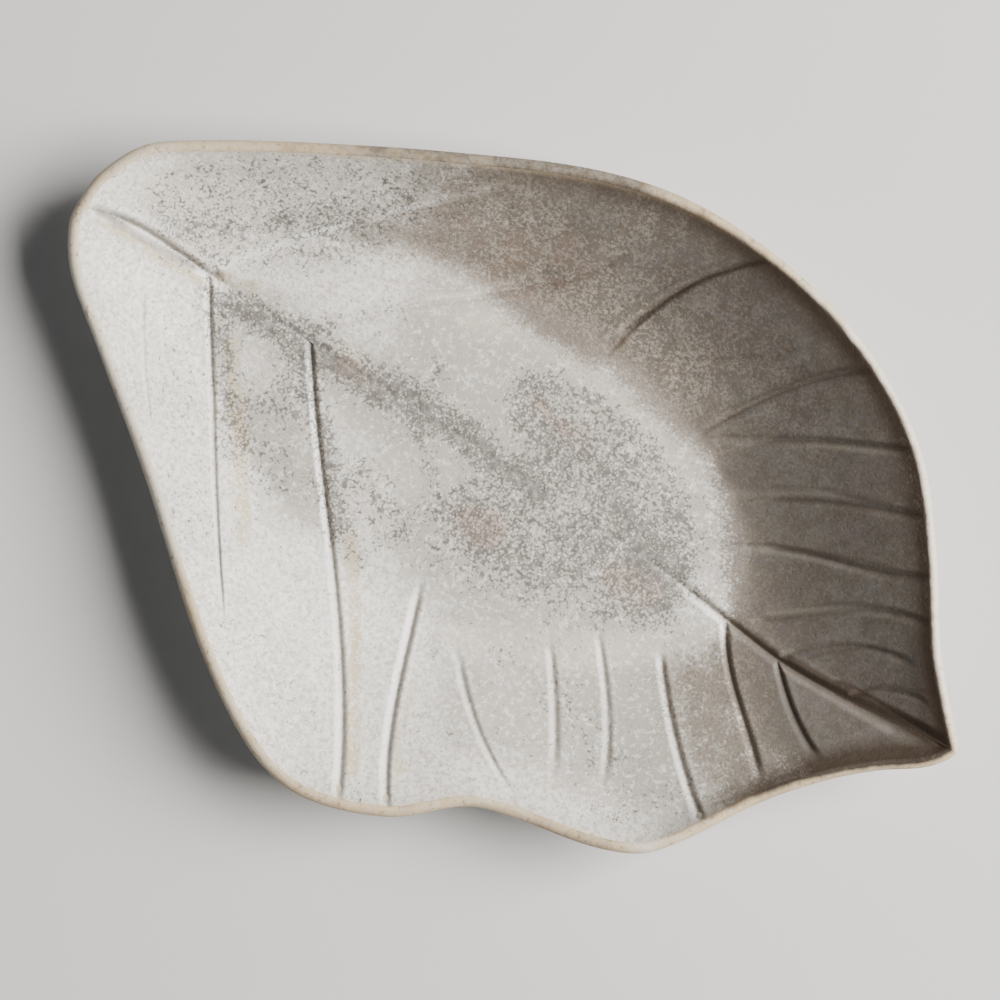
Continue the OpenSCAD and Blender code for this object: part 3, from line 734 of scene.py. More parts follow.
    def lip_sections(self, runs, steps):
        """The lip's section at each place of the margin, from its inner edge round to its lower edge.

        It is half an ellipse between the end of the upper face and the end of the underside, and
        its nose stands out square to the line between them.
        """
        inner = self.inset(runs, self.lip_reach)
        outer = self.inset(runs, self.under_reach)
        upper = np.column_stack((inner, self.dish_height(inner)))
        lower = np.column_stack((outer, self.under_height(outer)))
        half = (upper - lower) / 2
        run_in = np.linalg.norm(half[:, :2], axis=1)
        lean = -half[:, 2] / run_in
        out = np.column_stack((half[:, 0] * lean, half[:, 1] * lean, run_in))
        out /= np.linalg.norm(half, axis=1)[:, None]
        turn = np.pi * np.arange(1, steps + 1)[:, None, None] / steps
        section = (upper + lower) / 2 + half * np.cos(turn) + out * self.sizes.lip_nose * np.sin(turn)
        return self.tip_rounded(section)

    def lip_box(self):
        """The least and the greatest place in plan of the lip, all round."""
        runs = np.linspace(0, self.margin.end, MARGIN_STEPS)
        points = self.lip_sections(runs, NOSE_STEPS)[..., :2].reshape(-1, 2)
        return points.min(0), points.max(0)


def first(side):
    """Where a side's values start in a column's shape."""
    return UPPER if side > 0 else LOWER


def shape_of(pair):
    """A column's nine values: its place on the midrib, then each side's margin place, two bows and
    start."""
    return np.array((pair[0], *pair[1][:4], *pair[2][:4]), float)


class LeafGrid:
    """The leaf's face as a grid of columns that follow its veins.

    A column runs from the lower margin over the midrib to the upper margin. On each side it is a
    straight line from the midrib to the lip, bent by 3 v (1 - v) times its two bows, where v is
    the share of its length, and straighter before its groove starts. The first and last column
    are the points at the stem end and tip.
    """

    def __init__(self, leaf):
        self.leaf = leaf
        self.runs = np.zeros(COLUMN_VALUES)
        self.runs[[0, UPPER, LOWER]] = leaf.sizes.leaf_length, leaf.upper_run, leaf.lower_run
        self.shapes = self.column_shapes()
        v = (np.arange(ROWS + 1) / ROWS) ** ROW_POWER
        plans, layers = zip(*(self.half_face(side, v) for side in SIDES))
        self.plan = self.joined(*plans)
        self.from_lip = self.lip_distance()
        layers = np.array([self.joined(*pair) for pair in zip(*layers)])
        layers = np.maximum(layers, self.midrib_layers())
        layers[0] = np.maximum(layers[0], self.cross_veins())
        reach = np.where(np.arange(2 * ROWS + 1) > ROWS, UPPER_FADE, LOWER_FADE)
        dent, bank, lit, crease_shade = layers * ease(FADE_START, reach, self.from_lip)
        self.dent = self.trimmed(dent * leaf.sizes.vein_depth)
        self.bank = self.trimmed(bank * leaf.sizes.vein_depth * (1 - np.clip(2 * dent, 0, 1)))
        self.lit = self.trimmed(np.clip(lit, 0, 1))
        self.crease_shade = self.trimmed(np.clip(crease_shade, 0, 1))
        self.along = self.joined(*(self.places_along(side, v) for side in SIDES))
        self.across = self.joined(*(self.places_across(side, v) for side in SIDES))
        self.dish = leaf.dish_height(self.plan)
        self.rim, self.rim_runs = self.rim_of()

    @staticmethod
    def joined(lower, upper):
        """The two sides of a column as one, from the lower margin to the upper one."""
        return np.concatenate((lower[:, :0:-1], upper), axis=1)

    @staticmethod
    def trimmed(values):
        """Values with none at the stem end and the tip, where the columns are points."""
        values = values.copy()
        values[0] = 0
        values[-1] = 0
        return values

    def column_shapes(self):
        """Columns between the stem end and the tip, as shapes spread evenly between knots. A vein
        has a knot at its line and one on each side of its groove, with GROOVE_COLUMNS between
        them. Each gap has enough that neighbours lie COLUMN_STEP apart, and the last one crowds
        them towards the tip by a power."""
        half = self.leaf.sizes.vein_width / 2
        step = np.divide(half, self.runs, out=np.zeros(COLUMN_VALUES), where=self.runs > 0)
        knots = [np.zeros(COLUMN_VALUES)]
        for pair in VEIN_PAIR_SHARES:
            line = shape_of(pair)
            knots += [line - GROOVE_REACH * step, line, line + GROOVE_REACH * step]
        knots.append((self.runs > 0).astype(float))
        columns = []
        for i, (a, b) in enumerate(zip(knots, knots[1:])):
            gap = (np.abs(b - a) * self.runs).max()
            count = math.ceil(gap / COLUMN_STEP) if i % 3 == 0 else GROOVE_COLUMNS
            shares = np.arange(count) / count
            if i == len(knots) - 2:
                shares = 1 - (1 - np.arange(TIP_COLUMNS) / TIP_COLUMNS) ** TIP_COLUMN_POWER
            columns.append(a + (b - a) * shares[:, None])
        return np.concatenate((*columns, knots[-1:]))

    def ends(self, side):
        """Where each column of a side leaves the midrib, and the straight step from there to the
        lip's inner edge."""
        root = self.leaf.midrib_at(self.shapes[:, 0])
        reach = self.leaf.inset(self.leaf.run_of(side, self.shapes[:, first(side)]), self.leaf.lip_reach)
        return root, reach - root

    def half_face(self, side, v):
        """The places of one side in plan, with the layers of its veins. Each layer is the greatest that any
        vein gives, times the vein's depth and its fade. The upper side's veins have no painted highlight
        and no painted shade."""
        root, reach = self.ends(side)
        i = first(side)
        across = side * np.stack((reach[:, 1], -reach[:, 0]), -1)
        bow = 3 * v * (1 - v) * (self.shapes[:, i + 1:i + 2] * (1 - v) + self.shapes[:, i + 2:i + 3] * v)
        bow *= ease(BEND_START, self.shapes[:, i + 3:i + 4], v)
        plan = root[:, None] + reach[:, None] * v[:, None] + across[:, None] * bow[..., None]
        layers = np.zeros((4, *plan.shape[:2]))
        for pair in VEIN_PAIR_SHARES:
            *_, start, end, depth = pair[1 if side > 0 else 2]
            if depth > 0:
                t = -side * self.distance_from(pair, side, v) / (self.leaf.sizes.vein_width / 2)
                layers = np.maximum(layers, depth * self.fade(v, start, end) * self.groove_layers(t))
        if side > 0:
            layers[2:] = 0
        return plan, layers

    def distance_from(self, pair, side, v):
        """How far along the leaf each place lies from a vein's line, towards the tip."""
        i = first(side)
        offset = (self.shapes - shape_of(pair)) * self.runs
        return offset[:, :1] * (1 - v) + offset[:, i:i + 1] * v

    @staticmethod
    def fade(v, start, end):
        """A groove's share of its depth along its column: it eases in after start and out before end."""
        opening = ease(start, start + GROOVE_RUN_SHARE, v) if start > 0 else 1
        closing = 1 - ease(end - GROOVE_RUN_SHARE, end, v) if end < 1 else 1
        return opening * closing

    @staticmethod
    def groove_layers(t):
        """A pressed groove's layers across its line, as shares of its depth.

        Its dent is deepest at nought, with a long flank before it, a power of the share of the flank left,
        and a short rounded one after it. Its bank is the clay pushed up beside the short flank, a low bell.
        The painted highlight lies on the long flank, which faces the key light, a parabola, and the painted
        shade at the foot of the short one, which faces away, a bell.
        """
        left = np.clip(1 + t / LONG_FLANK_SHARE, 0, 1)
        dent = np.where(t < 0, left**LONG_FLANK_POWER, 1 - ease(0, STEEP_FLANK_SHARE, t))
        bank = BANK_HEIGHT_SHARE * np.exp(-(((t - BANK_PLACE) / BANK_SPREAD) ** 2))
        lit = np.where(t < 0, 4 * left * (1 - left), 0)
        crease_shade = np.exp(-(((t - CREASE_PLACE) / CREASE_SPREAD) ** 2))
        return np.stack((dent, bank, lit, crease_shade))

    def midrib_layers(self):
        """The midrib's layers: a groove's layers across the distance to its line over half its
        width, which grows towards the tip, times its share of depth there."""
        leaf = self.leaf
        places = np.linspace(0, 1, REACH_STEPS)
        line = leaf.midrib_at(places)
        place = np.interp(self.plan[..., 0], line[:, 0], places)
        off = self.plan[..., 1] - np.interp(self.plan[..., 0], line[:, 0], line[:, 1])
        t = off / (leaf.sizes.midrib_width / 2) / (1 + TIP_FLARE_SHARE * ease(TIP_FLARE_START, 1, place))
        share = np.interp(place, *np.transpose(MIDRIB_DEPTH_SHARES))
        layers = leaf.sizes.midrib_depth / leaf.sizes.vein_depth * share * self.groove_layers(t)
        layers[2:] *= ease(*MIDRIB_TINT_LEVELS, share)
        return layers

    def cross_veins(self):
        """Fine dents between the side veins: a bell across the distance to a line, which is bent
        by a parabola, fading at both ends."""
        sizes = self.leaf.sizes
        dent = np.zeros(self.plan.shape[:2])
        for start, end, bow in CROSS_VEIN_SHARES:
            a = np.array(start) * sizes.leaf_length
            line = np.array(end) * sizes.leaf_length - a
            span = np.hypot(*line)
            offset = self.plan - a
            v = (offset @ line) / span**2
            aside = (offset[..., 0] * line[1] - offset[..., 1] * line[0]) / span
            t = (aside - 4 * bow * span * v * (1 - v)) / (sizes.cross_width / 2)
            reach = ease(*CROSS_VEIN_OPENING, v) * (1 - ease(*CROSS_VEIN_CLOSING, v))
            dent = np.maximum(dent, sizes.cross_depth / sizes.vein_depth * reach * np.exp(-2 * t**2))
        return dent

    def places_along(self, side, v):
        """Distance along the leaf, the same all along a vein's line at the midrib and the margin."""
        i = first(side)
        place = self.shapes[:, :1] * (1 - v) + self.shapes[:, i:i + 1] * v
        return place * self.leaf.sizes.leaf_length

    def places_across(self, side, v):
        """Distance from the midrib along the column."""
        _, reach = self.ends(side)
        return side * np.linalg.norm(reach, axis=1)[:, None] * v

    def rim_of(self, step=1):
        """The outer vertices and their places on the margin, from the tip by the lower side."""
        last = len(self.shapes) - 1
        inner = np.arange(1, last)
        vertex = self.vertex(last, step)
        rows = ROWS // step
        rim = np.concatenate((
            [vertex(last, 0)], vertex(inner[::-1], -rows), [0], vertex(inner, rows),
        ))
        runs = np.concatenate((
            [0.0], self.leaf.run_of(-1, self.shapes[inner[::-1], LOWER]),
            [self.leaf.lower_run], self.leaf.run_of(1, self.shapes[inner, UPPER]),
        ))
        return rim, runs

    @staticmethod
    def vertex(last, step=1):
        """Numbers vertices: the stem end, then the columns, then the tip."""
        rows = ROWS // step
        tip = 1 + (last - 1) * (2 * rows + 1)

        def number(column, row):
            inside = 1 + (column - 1) * (2 * rows + 1) + row + rows
            return np.where(column == 0, 0, np.where(column == last, tip, inside))

        return number

    @staticmethod
    def flat(values, step=1):
        """Grid values as one list in the order of the vertices, with every step-th row."""
        middle = values[1:-1, ::step]
        return np.concatenate((values[:1, 0], middle.reshape(-1, *values.shape[2:]), values[-1:, 0]))

    def faces(self, step=1):
        """Quads between neighbouring columns and triangles at the stem end and the tip, seen from
        above against the clock."""
        last = len(self.shapes) - 1
        vertex = self.vertex(last, step)
        rows = np.arange(-ROWS // step, ROWS // step)
        c, r = np.meshgrid(np.arange(1, last - 1), rows, indexing="ij")
        quads = np.stack((vertex(c, r), vertex(c + 1, r), vertex(c + 1, r + 1), vertex(c, r + 1)), -1)
        stem = np.stack((vertex(0, rows), vertex(1, rows), vertex(1, rows + 1)), -1)
        tip = np.stack((vertex(last - 1, rows), vertex(last, rows), vertex(last - 1, rows + 1)), -1)
        return [quads.reshape(-1, 4), stem, tip]

    def points(self, heights, step=1):
        """The vertices at these heights, in the frame of the solid model."""
        plan = self.leaf.tip_rounded(self.flat(self.plan, step)) + self.leaf.shift
        return np.column_stack((plan, self.flat(heights, step)))

    def clay_height(self):
        """Height of the clay's face: the dish, less the grooves' dents, plus their banks."""
        return self.dish - self.dent + self.bank

    def hidden_height(self):
        """Where glaze and clay meet: below the clay's true face away from the lip, because its
        rows are far apart and must not show through the glaze."""
        return self.clay_height() - HIDDEN_DROP * ease(0, self.leaf.sizes.coat_taper / 2, self.from_lip)

    def glaze_height(self):
        """The clay's face, with part of each groove filled, raised by a coat that thins at its edge."""
        sizes = self.leaf.sizes
        inward = ease(0, sizes.coat_taper, self.from_lip)
        thickness = sizes.top_coat * (COAT_EDGE_SHARE + (1 - COAT_EDGE_SHARE) * inward)
        return self.dish - self.dent * (1 - POOL_SHARE) + self.bank + thickness

    def lip_distance(self):
        """Distance of each place from the lip's inner edge: that to the nearest of many places on
        the margin, less the lip's reach, and never below nought."""
        edge = self.leaf.margin_at(np.linspace(0, self.leaf.margin.end, MARGIN_STEPS))[:, :2]
        blocks = np.array_split(self.plan, DISTANCE_BLOCKS)
        nearest = [np.sqrt(((b[:, :, None] - edge) ** 2).sum(-1).min(-1)) for b in blocks]
        return np.maximum(np.concatenate(nearest) - self.leaf.lip_reach, 0)


def ring_faces(inner, outer):
    """Quads between a ring of vertices and the ring outside or below it."""
    return np.stack((np.roll(inner, -1), np.roll(outer, -1), outer, inner), -1)


def rings_faces(rings):
    """Quads between each ring and the next."""
    return [ring_faces(a, b) for a, b in zip(rings, rings[1:])]


def number_rings(start, rings, count):
    """The vertex numbers of rings that lie one after another from start."""
    return [start + i * count + np.arange(count) for i in range(rings)]


def oval(leaf, grow, height, count):
    """A ring of points round the well's centre, clockwise from above: the outer edge of the foot
    ring, with both its half axes grown."""
    sizes = leaf.sizes
    half_length = sizes.well_length / 2 - sizes.foot_inset + grow
    half_width = sizes.well_width / 2 - sizes.foot_inset + grow
    angle = -2 * np.pi * np.arange(count) / count
    centre = leaf.well_centre + leaf.shift
    return np.column_stack((
        centre[0] + half_length * np.cos(angle), centre[1] + half_width * np.sin(angle),
        np.full(count, height),
    ))


def rounded(corners, radius, steps):
    """A line through corners, each but the ends rounded by a quadratic curve from radius before
    the corner to radius after it."""
    corners = np.asarray(corners, float)
    line = [corners[:1]]
    for before, here, after in zip(corners, corners[1:], corners[2:]):
        a = here + (before - here) / np.linalg.norm(before - here) * radius
        b = here + (after - here) / np.linalg.norm(after - here) * radius
        t = np.linspace(0, 1, steps)[:, None]
        line.append((1 - t) ** 2 * a + 2 * t * (1 - t) * here + t**2 * b)
    line.append(corners[-1:])
    return np.concatenate(line)


def make_piece(name, points, faces, node, material, values=None, uv=None):
    """Makes a smooth shaded piece from vertices and lists of faces, and puts it in the frame."""
    mesh = bpy.data.meshes.new(name)
    loops = np.concatenate([f.ravel() for f in faces])
    totals = np.concatenate([np.full(len(f), f.shape[1]) for f in faces])
    mesh.vertices.add(len(points))
    mesh.vertices.foreach_set("co", np.asarray(points, np.float32).ravel())
    mesh.loops.add(len(loops))
    mesh.loops.foreach_set("vertex_index", loops.astype(np.int32))
    mesh.polygons.add(len(totals))
    mesh.polygons.foreach_set("loop_start", (np.cumsum(totals) - totals).astype(np.int32))
    mesh.polygons.foreach_set("use_smooth", np.ones(len(totals), bool))
    mesh.update(calc_edges=True)
    for key, numbers in (values or {}).items():
        layer = mesh.attributes.new(key, "FLOAT", "POINT")
        layer.data.foreach_set("value", np.asarray(numbers, np.float32))
    if uv is not None:
        layer = mesh.uv_layers.new(name="leaf")
        layer.data.foreach_set("uv", np.asarray(uv, np.float32)[loops].ravel())
    if mesh.validate():
        raise RuntimeError(f"{name} has faces that Blender had to mend")
    mesh.set_sharp_from_angle(angle=SHARP_ANGLE)
    mesh.materials.append(material)
    piece = bpy.data.objects.new(name, mesh)
    bpy.context.scene.collection.objects.link(piece)
    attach(piece, BODY)
    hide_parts(node)
    return piece


def stroke_mask(places, strokes, soft):
    """Strength of soft strokes at places in the picture: one, less the product over the strokes of
    one less each stroke's strength. That is full near its line and eases to none over soft pixels
    on both sides of its half width."""
    clear = np.ones(places.shape[:-1])
    for half_width, strength, *line in strokes:
        nearest = np.full(places.shape[:-1], np.inf)
        for a, b in zip(np.array(line[:-1], float), np.array(line[1:], float)):
            along = np.clip((places - a) @ (b - a) / ((b - a) @ (b - a)), 0, 1)
            gap = np.linalg.norm(places - a - along[..., None] * (b - a), axis=-1)
            nearest = np.minimum(nearest, gap)
        clear *= 1 - strength * (1 - ease(half_width - soft, half_width + soft, nearest))
    return 1 - clear


def along_margin(leaf, runs, lower_shares, upper_shares):
    """A share that changes along each side of the margin, by straight lines between its points."""
    lower = np.interp((leaf.lower_run - runs) / leaf.lower_run, *np.transpose(lower_shares))
    upper = np.interp((runs - leaf.lower_run) / leaf.upper_run, *np.transpose(upper_shares))
    return np.where(runs < leaf.lower_run, lower, upper)


def toast_at(leaf, runs):
    """How far the lip's clay is toasted at places on the margin."""
    return along_margin(leaf, runs, LOWER_TOAST_SHARES, UPPER_TOAST_SHARES)


def scorch_and_shade_at(leaf, runs):
    """How far the glaze beside the lip is darkened, partly a real break of the glaze and partly painted
    shade, at places on the margin.
    """
    return along_margin(leaf, runs, LOWER_SCORCH_AND_SHADE_SHARES, UPPER_SCORCH_AND_SHADE_SHARES)


# Materials

# Each noise's cells a metre, octaves of detail, roughness and distortion
NOISES = {
    "wool": (1050.0, 3.0, 0.75, 0.0),
    "blotch": (760.0, 3.0, 0.65, 0.3),
    "drift": (190.0, 3.0, 0.65, 0.0),
    "cloud": (48.0, 4.0, 0.6, 0.0),
    "lip tone": (170.0, 4.0, 0.6, 0.0),
    "foot tone": (150.0, 4.0, 0.6, 0.0),
    "foot grain": (1400.0, 2.0, 0.6, 0.0),
    "under wool": (2300.0, 2.0, 0.6, 0.0),
    "under blotch": (620.0, 2.0, 0.6, 0.4),
    "swell": (190.0, 3.0, 0.5, 0.0),
    "clay grain": (1500.0, 2.0, 0.6, 0.0),
    "pits": (1100.0, 1.0, 0.5, 0.0),
}
# The layers over each base colour: a layer's noise, the levels of it at which the layer starts
# and is full, its strength there, and its colour
PALE_LAYERS = (
    ("drift", 0.56, 0.34, 0.34, "fleck_and_highlight"),
    ("wool", 0.55, 0.36, 0.68, "fleck_and_highlight"),
    ("blotch", 0.49, 0.30, 0.50, "fleck_and_highlight"),
    ("blotch", 0.48, 0.70, 0.60, "white_and_highlight"),
)
WALL_LAYERS = (("wool", 0.55, 0.36, 0.50, "groove"),)
FOOT_LAYERS = (("foot grain", 0.55, 0.35, 0.35, "groove"),)
UNDER_LAYERS = (
    ("cloud", 0.36, 0.70, 0.60, "fleck_and_highlight"),
    ("under wool", 0.56, 0.34, 0.22, "fleck_and_highlight"),
    ("under blotch", 0.52, 0.68, 0.55, "white_and_highlight"),
)
# How far noise moves each marking's edge, and the levels at which it starts and is full
MARKING_EDGES = {
    "grey": (0.8, 0.1, 0.9),
    "cream": (0.9, 0.1, 0.9),
    "straw": (1.2, 0.35, 0.65),
    "taupe": (0.7, 0.05, 0.85),
    "deep_and_shade": (0.8, 0.0, 1.0),
    "rust": (1.0, 0.15, 0.85),
    "brown": (0.8, 0.05, 0.95),
}
# How strong each marking's colour is at its fullest
CREAM_STRENGTH = 0.62
LIT_STRENGTH = 0.75
TAUPE_STRENGTH = 0.95
PALE_HIGHLIGHT_STRENGTH = 0.60
BROWN_AND_SHADE_STRENGTH = 0.85
VEIN_STRENGTH = 0.40
SCORCH_AND_SHADE_STRENGTH = 0.90
TOAST_STRENGTH = 0.5
# The taupe's mask: a share of its strokes with an offset, plus a share of the mottle
TAUPE_SHARE = 1.18
TAUPE_OFFSET = -0.37
TAUPE_MOTTLE_SHARE = 0.72
# The specks' density: a share of their strokes, more of it where the strokes are full, and a
# share of the wandering noise
SPECK_SHARE = 1.30
SPECK_EXTRA = 0.32
SPECK_WANDER_SHARE = 1.5
# How far the dark band beside the lip, partly a real break of the glaze and partly painted shade, reaches
# from the lip, and how much further the drifting noise takes it
SCORCH_AND_SHADE_REACH = 0.0034
SCORCH_AND_SHADE_DRIFT = 0.006
# Spacing and density of the specks in the clays, and density of those underneath
LIP_SPECKS = (0.0011, 0.30)
FOOT_SPECKS = (0.0012, 0.35)
UNDER_SPECK_DENSITY = 0.42
# Spacing of the pale mottle on the lip
LIP_MOTTLE_SPACING = 0.0015
# How far from the lip its toast colours the glaze, and how far from its edges the glaze
# underneath is toasted
TOASTED_EDGE = 0.0011
UNDER_TOASTED_EDGE = 0.0022
# Names of the node groups
SPECKS = "iron specks"
MOTTLE = "glaze mottle"
HAND_FINISH = "hand finish"


def put(tree, socket, value):
    """Links a socket to another one, or sets it to a value, with a full alpha for a colour."""
    if isinstance(value, NodeSocket):
        tree.links.new(value, socket)
    elif socket.type == "RGBA":
        socket.default_value = (*value, 1)
    else:
        socket.default_value = value


def add_node(tree, kind, settings=None, **inputs):
    """Adds a node, with its settings and with its inputs by name."""
    node = tree.nodes.new(kind)
    for key, value in (settings or {}).items():
        setattr(node, key, value)
    for key, value in inputs.items():
        put(tree, node.inputs[key.replace("_", " ")], value)
    return node


def calc(tree, operation, *values, clamp=False):
    """A Math node's result."""
    node = add_node(tree, "ShaderNodeMath", {"operation": operation, "use_clamp": clamp})
    for socket, value in zip(node.inputs, values):
        put(tree, socket, value)
    return node.outputs[0]


def product(tree, a, b):
    """Two values multiplied: a mask weakened by a strength or by another mask."""
    return calc(tree, "MULTIPLY", a, b)


def scaled(tree, value, factor, more):
    """A value times a factor, plus another value."""
    return calc(tree, "MULTIPLY_ADD", value, factor, more)


def eased(tree, value, low, high, to_low=0.0, to_high=1.0):
    """A value carried from one span to another, by 3 t squared less 2 t cubed."""
    node = add_node(tree, "ShaderNodeMapRange", {"interpolation_type": "SMOOTHSTEP", "clamp": True})
    numbers = {"Value": value, "From Min": low, "From Max": high, "To Min": to_low, "To Max": to_high}
    for key, number in numbers.items():
        put(tree, node.inputs[key], number)
    return node.outputs[0]


def mixed(tree, factor, a, b):
    """Two colours mixed by a factor."""
    node = add_node(tree, "ShaderNodeMix", {"data_type": "RGBA", "clamp_factor": True})
    factor_socket, a_socket, b_socket = (node.inputs[i] for i in (0, 6, 7))
    put(tree, factor_socket, factor)
    put(tree, a_socket, a)
    put(tree, b_socket, b)
    return node.outputs[2]


def layered(tree, base, grains, finish, layers):
    """A colour with the layers' colours mixed over it in turn, each as its own noise has it."""
    for name, start, full, strength, tone in layers:
        mask = eased(tree, grains[name], start, full, 0.0, strength)
        base = mixed(tree, mask, base, getattr(finish, tone))
    return base


def noise(tree, vector, scale, detail=2.0, roughness=0.5, distortion=0.0):
    """A noise texture's grey."""
    node = add_node(
        tree, "ShaderNodeTexNoise", None,
        Vector=vector, Scale=scale, Detail=detail, Roughness=roughness, Distortion=distortion,
    )
    return node.outputs["Fac"]


def noises(tree, vector, *names):
    """These noises by name, each with its own values."""
    return {name: noise(tree, vector, *NOISES[name]) for name in names}


def attribute(tree, name):
    """A value that the piece carries at its vertices."""
    return add_node(tree, "ShaderNodeAttribute", {"attribute_name": name}).outputs["Fac"]


def ragged(tree, mask, wander, reach, low, high):
    """A soft mask given a wandering edge: noise times its reach is added before it is eased."""
    return eased(tree, scaled(tree, wander, reach, mask), low, high)


def marking(tree, name, wander):
    """One of the markings that the piece carries, with its own ragged edge."""
    return ragged(tree, attribute(tree, name), wander, *MARKING_EDGES[name])


def beside(tree, distance, reach):
    """One at an edge, easing to nought at a distance from it."""
    return calc(tree, "SUBTRACT", 1.0, eased(tree, distance, 0.0, reach))


def new_group(name, numbers, output):
    """A shader node group that takes a vector and numbers and puts out one number, with its
    tree, its inputs and its output."""
    tree = bpy.data.node_groups.new(name, "ShaderNodeTree")
    tree.interface.new_socket("Vector", in_out="INPUT", socket_type="NodeSocketVector")
    for title in numbers:
        tree.interface.new_socket(title, in_out="INPUT", socket_type="NodeSocketFloat")
    tree.interface.new_socket(output, in_out="OUTPUT", socket_type="NodeSocketFloat")
    given = tree.nodes.new("NodeGroupInput").outputs
    return tree, given, tree.nodes.new("NodeGroupOutput").inputs[output]


def build_specks(name):
    """Iron specks: a net between round pale cells, which is a share of the distance to the
    nearest cell's centre, broken by two noises and cut off at a level that falls as the specks
    get denser."""
    tree, given, result = new_group(name, ("Spacing", "Density"), "Mask")
    vector = given["Vector"]
    scale = calc(tree, "DIVIDE", 1.0, given["Spacing"])
    cells = add_node(tree, "ShaderNodeTexVoronoi", None, Vector=vector, Scale=scale).outputs["Distance"]
    coarse = noise(tree, vector, product(tree, scale, 0.45), detail=2.0, roughness=0.6)
    fine = noise(tree, vector, product(tree, scale, 1.3), detail=1.0)
    broken = scaled(tree, coarse, 0.78, product(tree, fine, 0.62))
    net = calc(tree, "ADD", scaled(tree, cells, 0.70, -0.53), broken)
    level = scaled(tree, given["Density"], -0.36, 0.80)
    put(tree, result, eased(tree, net, level, calc(tree, "ADD", level, 0.23)))
    return tree


def build_mottle(name):
    """Flecks: two sizes of noise added and spread to the whole span from nought to one."""
    tree, given, result = new_group(name, ("Spacing",), "Mask")
    vector = given["Vector"]
    scale = calc(tree, "DIVIDE", 1.0, given["Spacing"])
    fine = noise(tree, vector, scale, detail=2.5, roughness=0.65, distortion=0.6)
    broad = noise(tree, vector, product(tree, scale, 0.2), detail=3.0, roughness=0.6)
    both = scaled(tree, broad, 0.3, product(tree, fine, 0.7))
    put(tree, result, eased(tree, both, 0.33, 0.67))
    return tree


def build_hand_finish(name):
    """Relief of a dipped surface: low swells and the grain of the clay below, less soft fine
    pits."""
    tree, given, result = new_group(name, ("Pits",), "Height")
    grains = noises(tree, given["Vector"], "swell", "clay grain", "pits")
    height = scaled(tree, grains["swell"], 0.5, product(tree, grains["clay grain"], 0.3))
    sunk = product(tree, eased(tree, grains["pits"], 0.56, 0.80), given["Pits"])
    put(tree, result, calc(tree, "SUBTRACT", height, sunk))
    return tree


GROUP_BUILDERS = {SPECKS: build_specks, MOTTLE: build_mottle, HAND_FINISH: build_hand_finish}


def use_group(tree, name, **inputs):
    """A group's output, with its inputs by name. The group is built the first time."""
    group = bpy.data.node_groups.get(name) or GROUP_BUILDERS[name](name)
    return add_node(tree, "ShaderNodeGroup", {"node_tree": group}, **inputs).outputs[0]


def new_material(name):
    """A material with a Principled shader, with its tree, its shader and the piece's own
    coordinates."""
    material = bpy.data.materials.new(name)
    material.use_nodes = True
    tree = material.node_tree
    tree.nodes.clear()
    shader = tree.nodes.new("ShaderNodeBsdfPrincipled")
    output = tree.nodes.new("ShaderNodeOutputMaterial")
    tree.links.new(shader.outputs[0], output.inputs["Surface"])
    return material, tree, shader, tree.nodes.new("ShaderNodeTexCoord").outputs["Object"]


def finish_surface(tree, shader, here, base, roughness, pits, depth, strength):
    """Feeds the shader its colour, its roughness and, through a Bump node, the relief of a dipped
    surface."""
    put(tree, shader.inputs["Base Color"], base)
    put(tree, shader.inputs["Roughness"], roughness)
    relief = use_group(tree, HAND_FINISH, Vector=here, Pits=pits)
    bump = add_node(tree, "ShaderNodeBump", None, Height=relief, Distance=depth, Strength=strength)
    put(tree, shader.inputs["Normal"], bump.outputs["Normal"])


def pale_glaze(tree, finish, grains, density, wander):
    """The clean glaze: cool clouds, painted grey shade along the grey strokes and grey where the specks are
    dense, a woolly grain, warm patches, and a painted highlight on the long flank of each vein and on the
    pale ridges."""
    cool = eased(tree, grains["cloud"], 0.36, 0.66, 0.0, 0.55)
    base = mixed(tree, cool, finish.glaze, finish.cool_glaze)
    # Painted shade along the grey strokes, with the real greying where the specks are dense
    grey = calc(tree, "MAXIMUM", marking(tree, "grey", wander), product(tree, density, 0.7))
    base = mixed(tree, grey, base, finish.grey_and_shade_glaze)
    base = layered(tree, base, grains, finish, PALE_LAYERS)
    cream = product(tree, marking(tree, "cream", wander), CREAM_STRENGTH)
    base = mixed(tree, cream, base, finish.cream)
    flecked = eased(tree, grains["mottle"], 0.35, 0.70, 0.95, 0.05)
    base = mixed(tree, product(tree, marking(tree, "straw", wander), flecked), base, finish.straw)
    # Painted highlight on the long flank of each vein, which faces the key light, and on the pale ridges
    lit = calc(tree, "MAXIMUM", attribute(tree, "lit"), attribute(tree, "pale"))
    return mixed(tree, product(tree, lit, LIT_STRENGTH), base, finish.white_and_highlight)


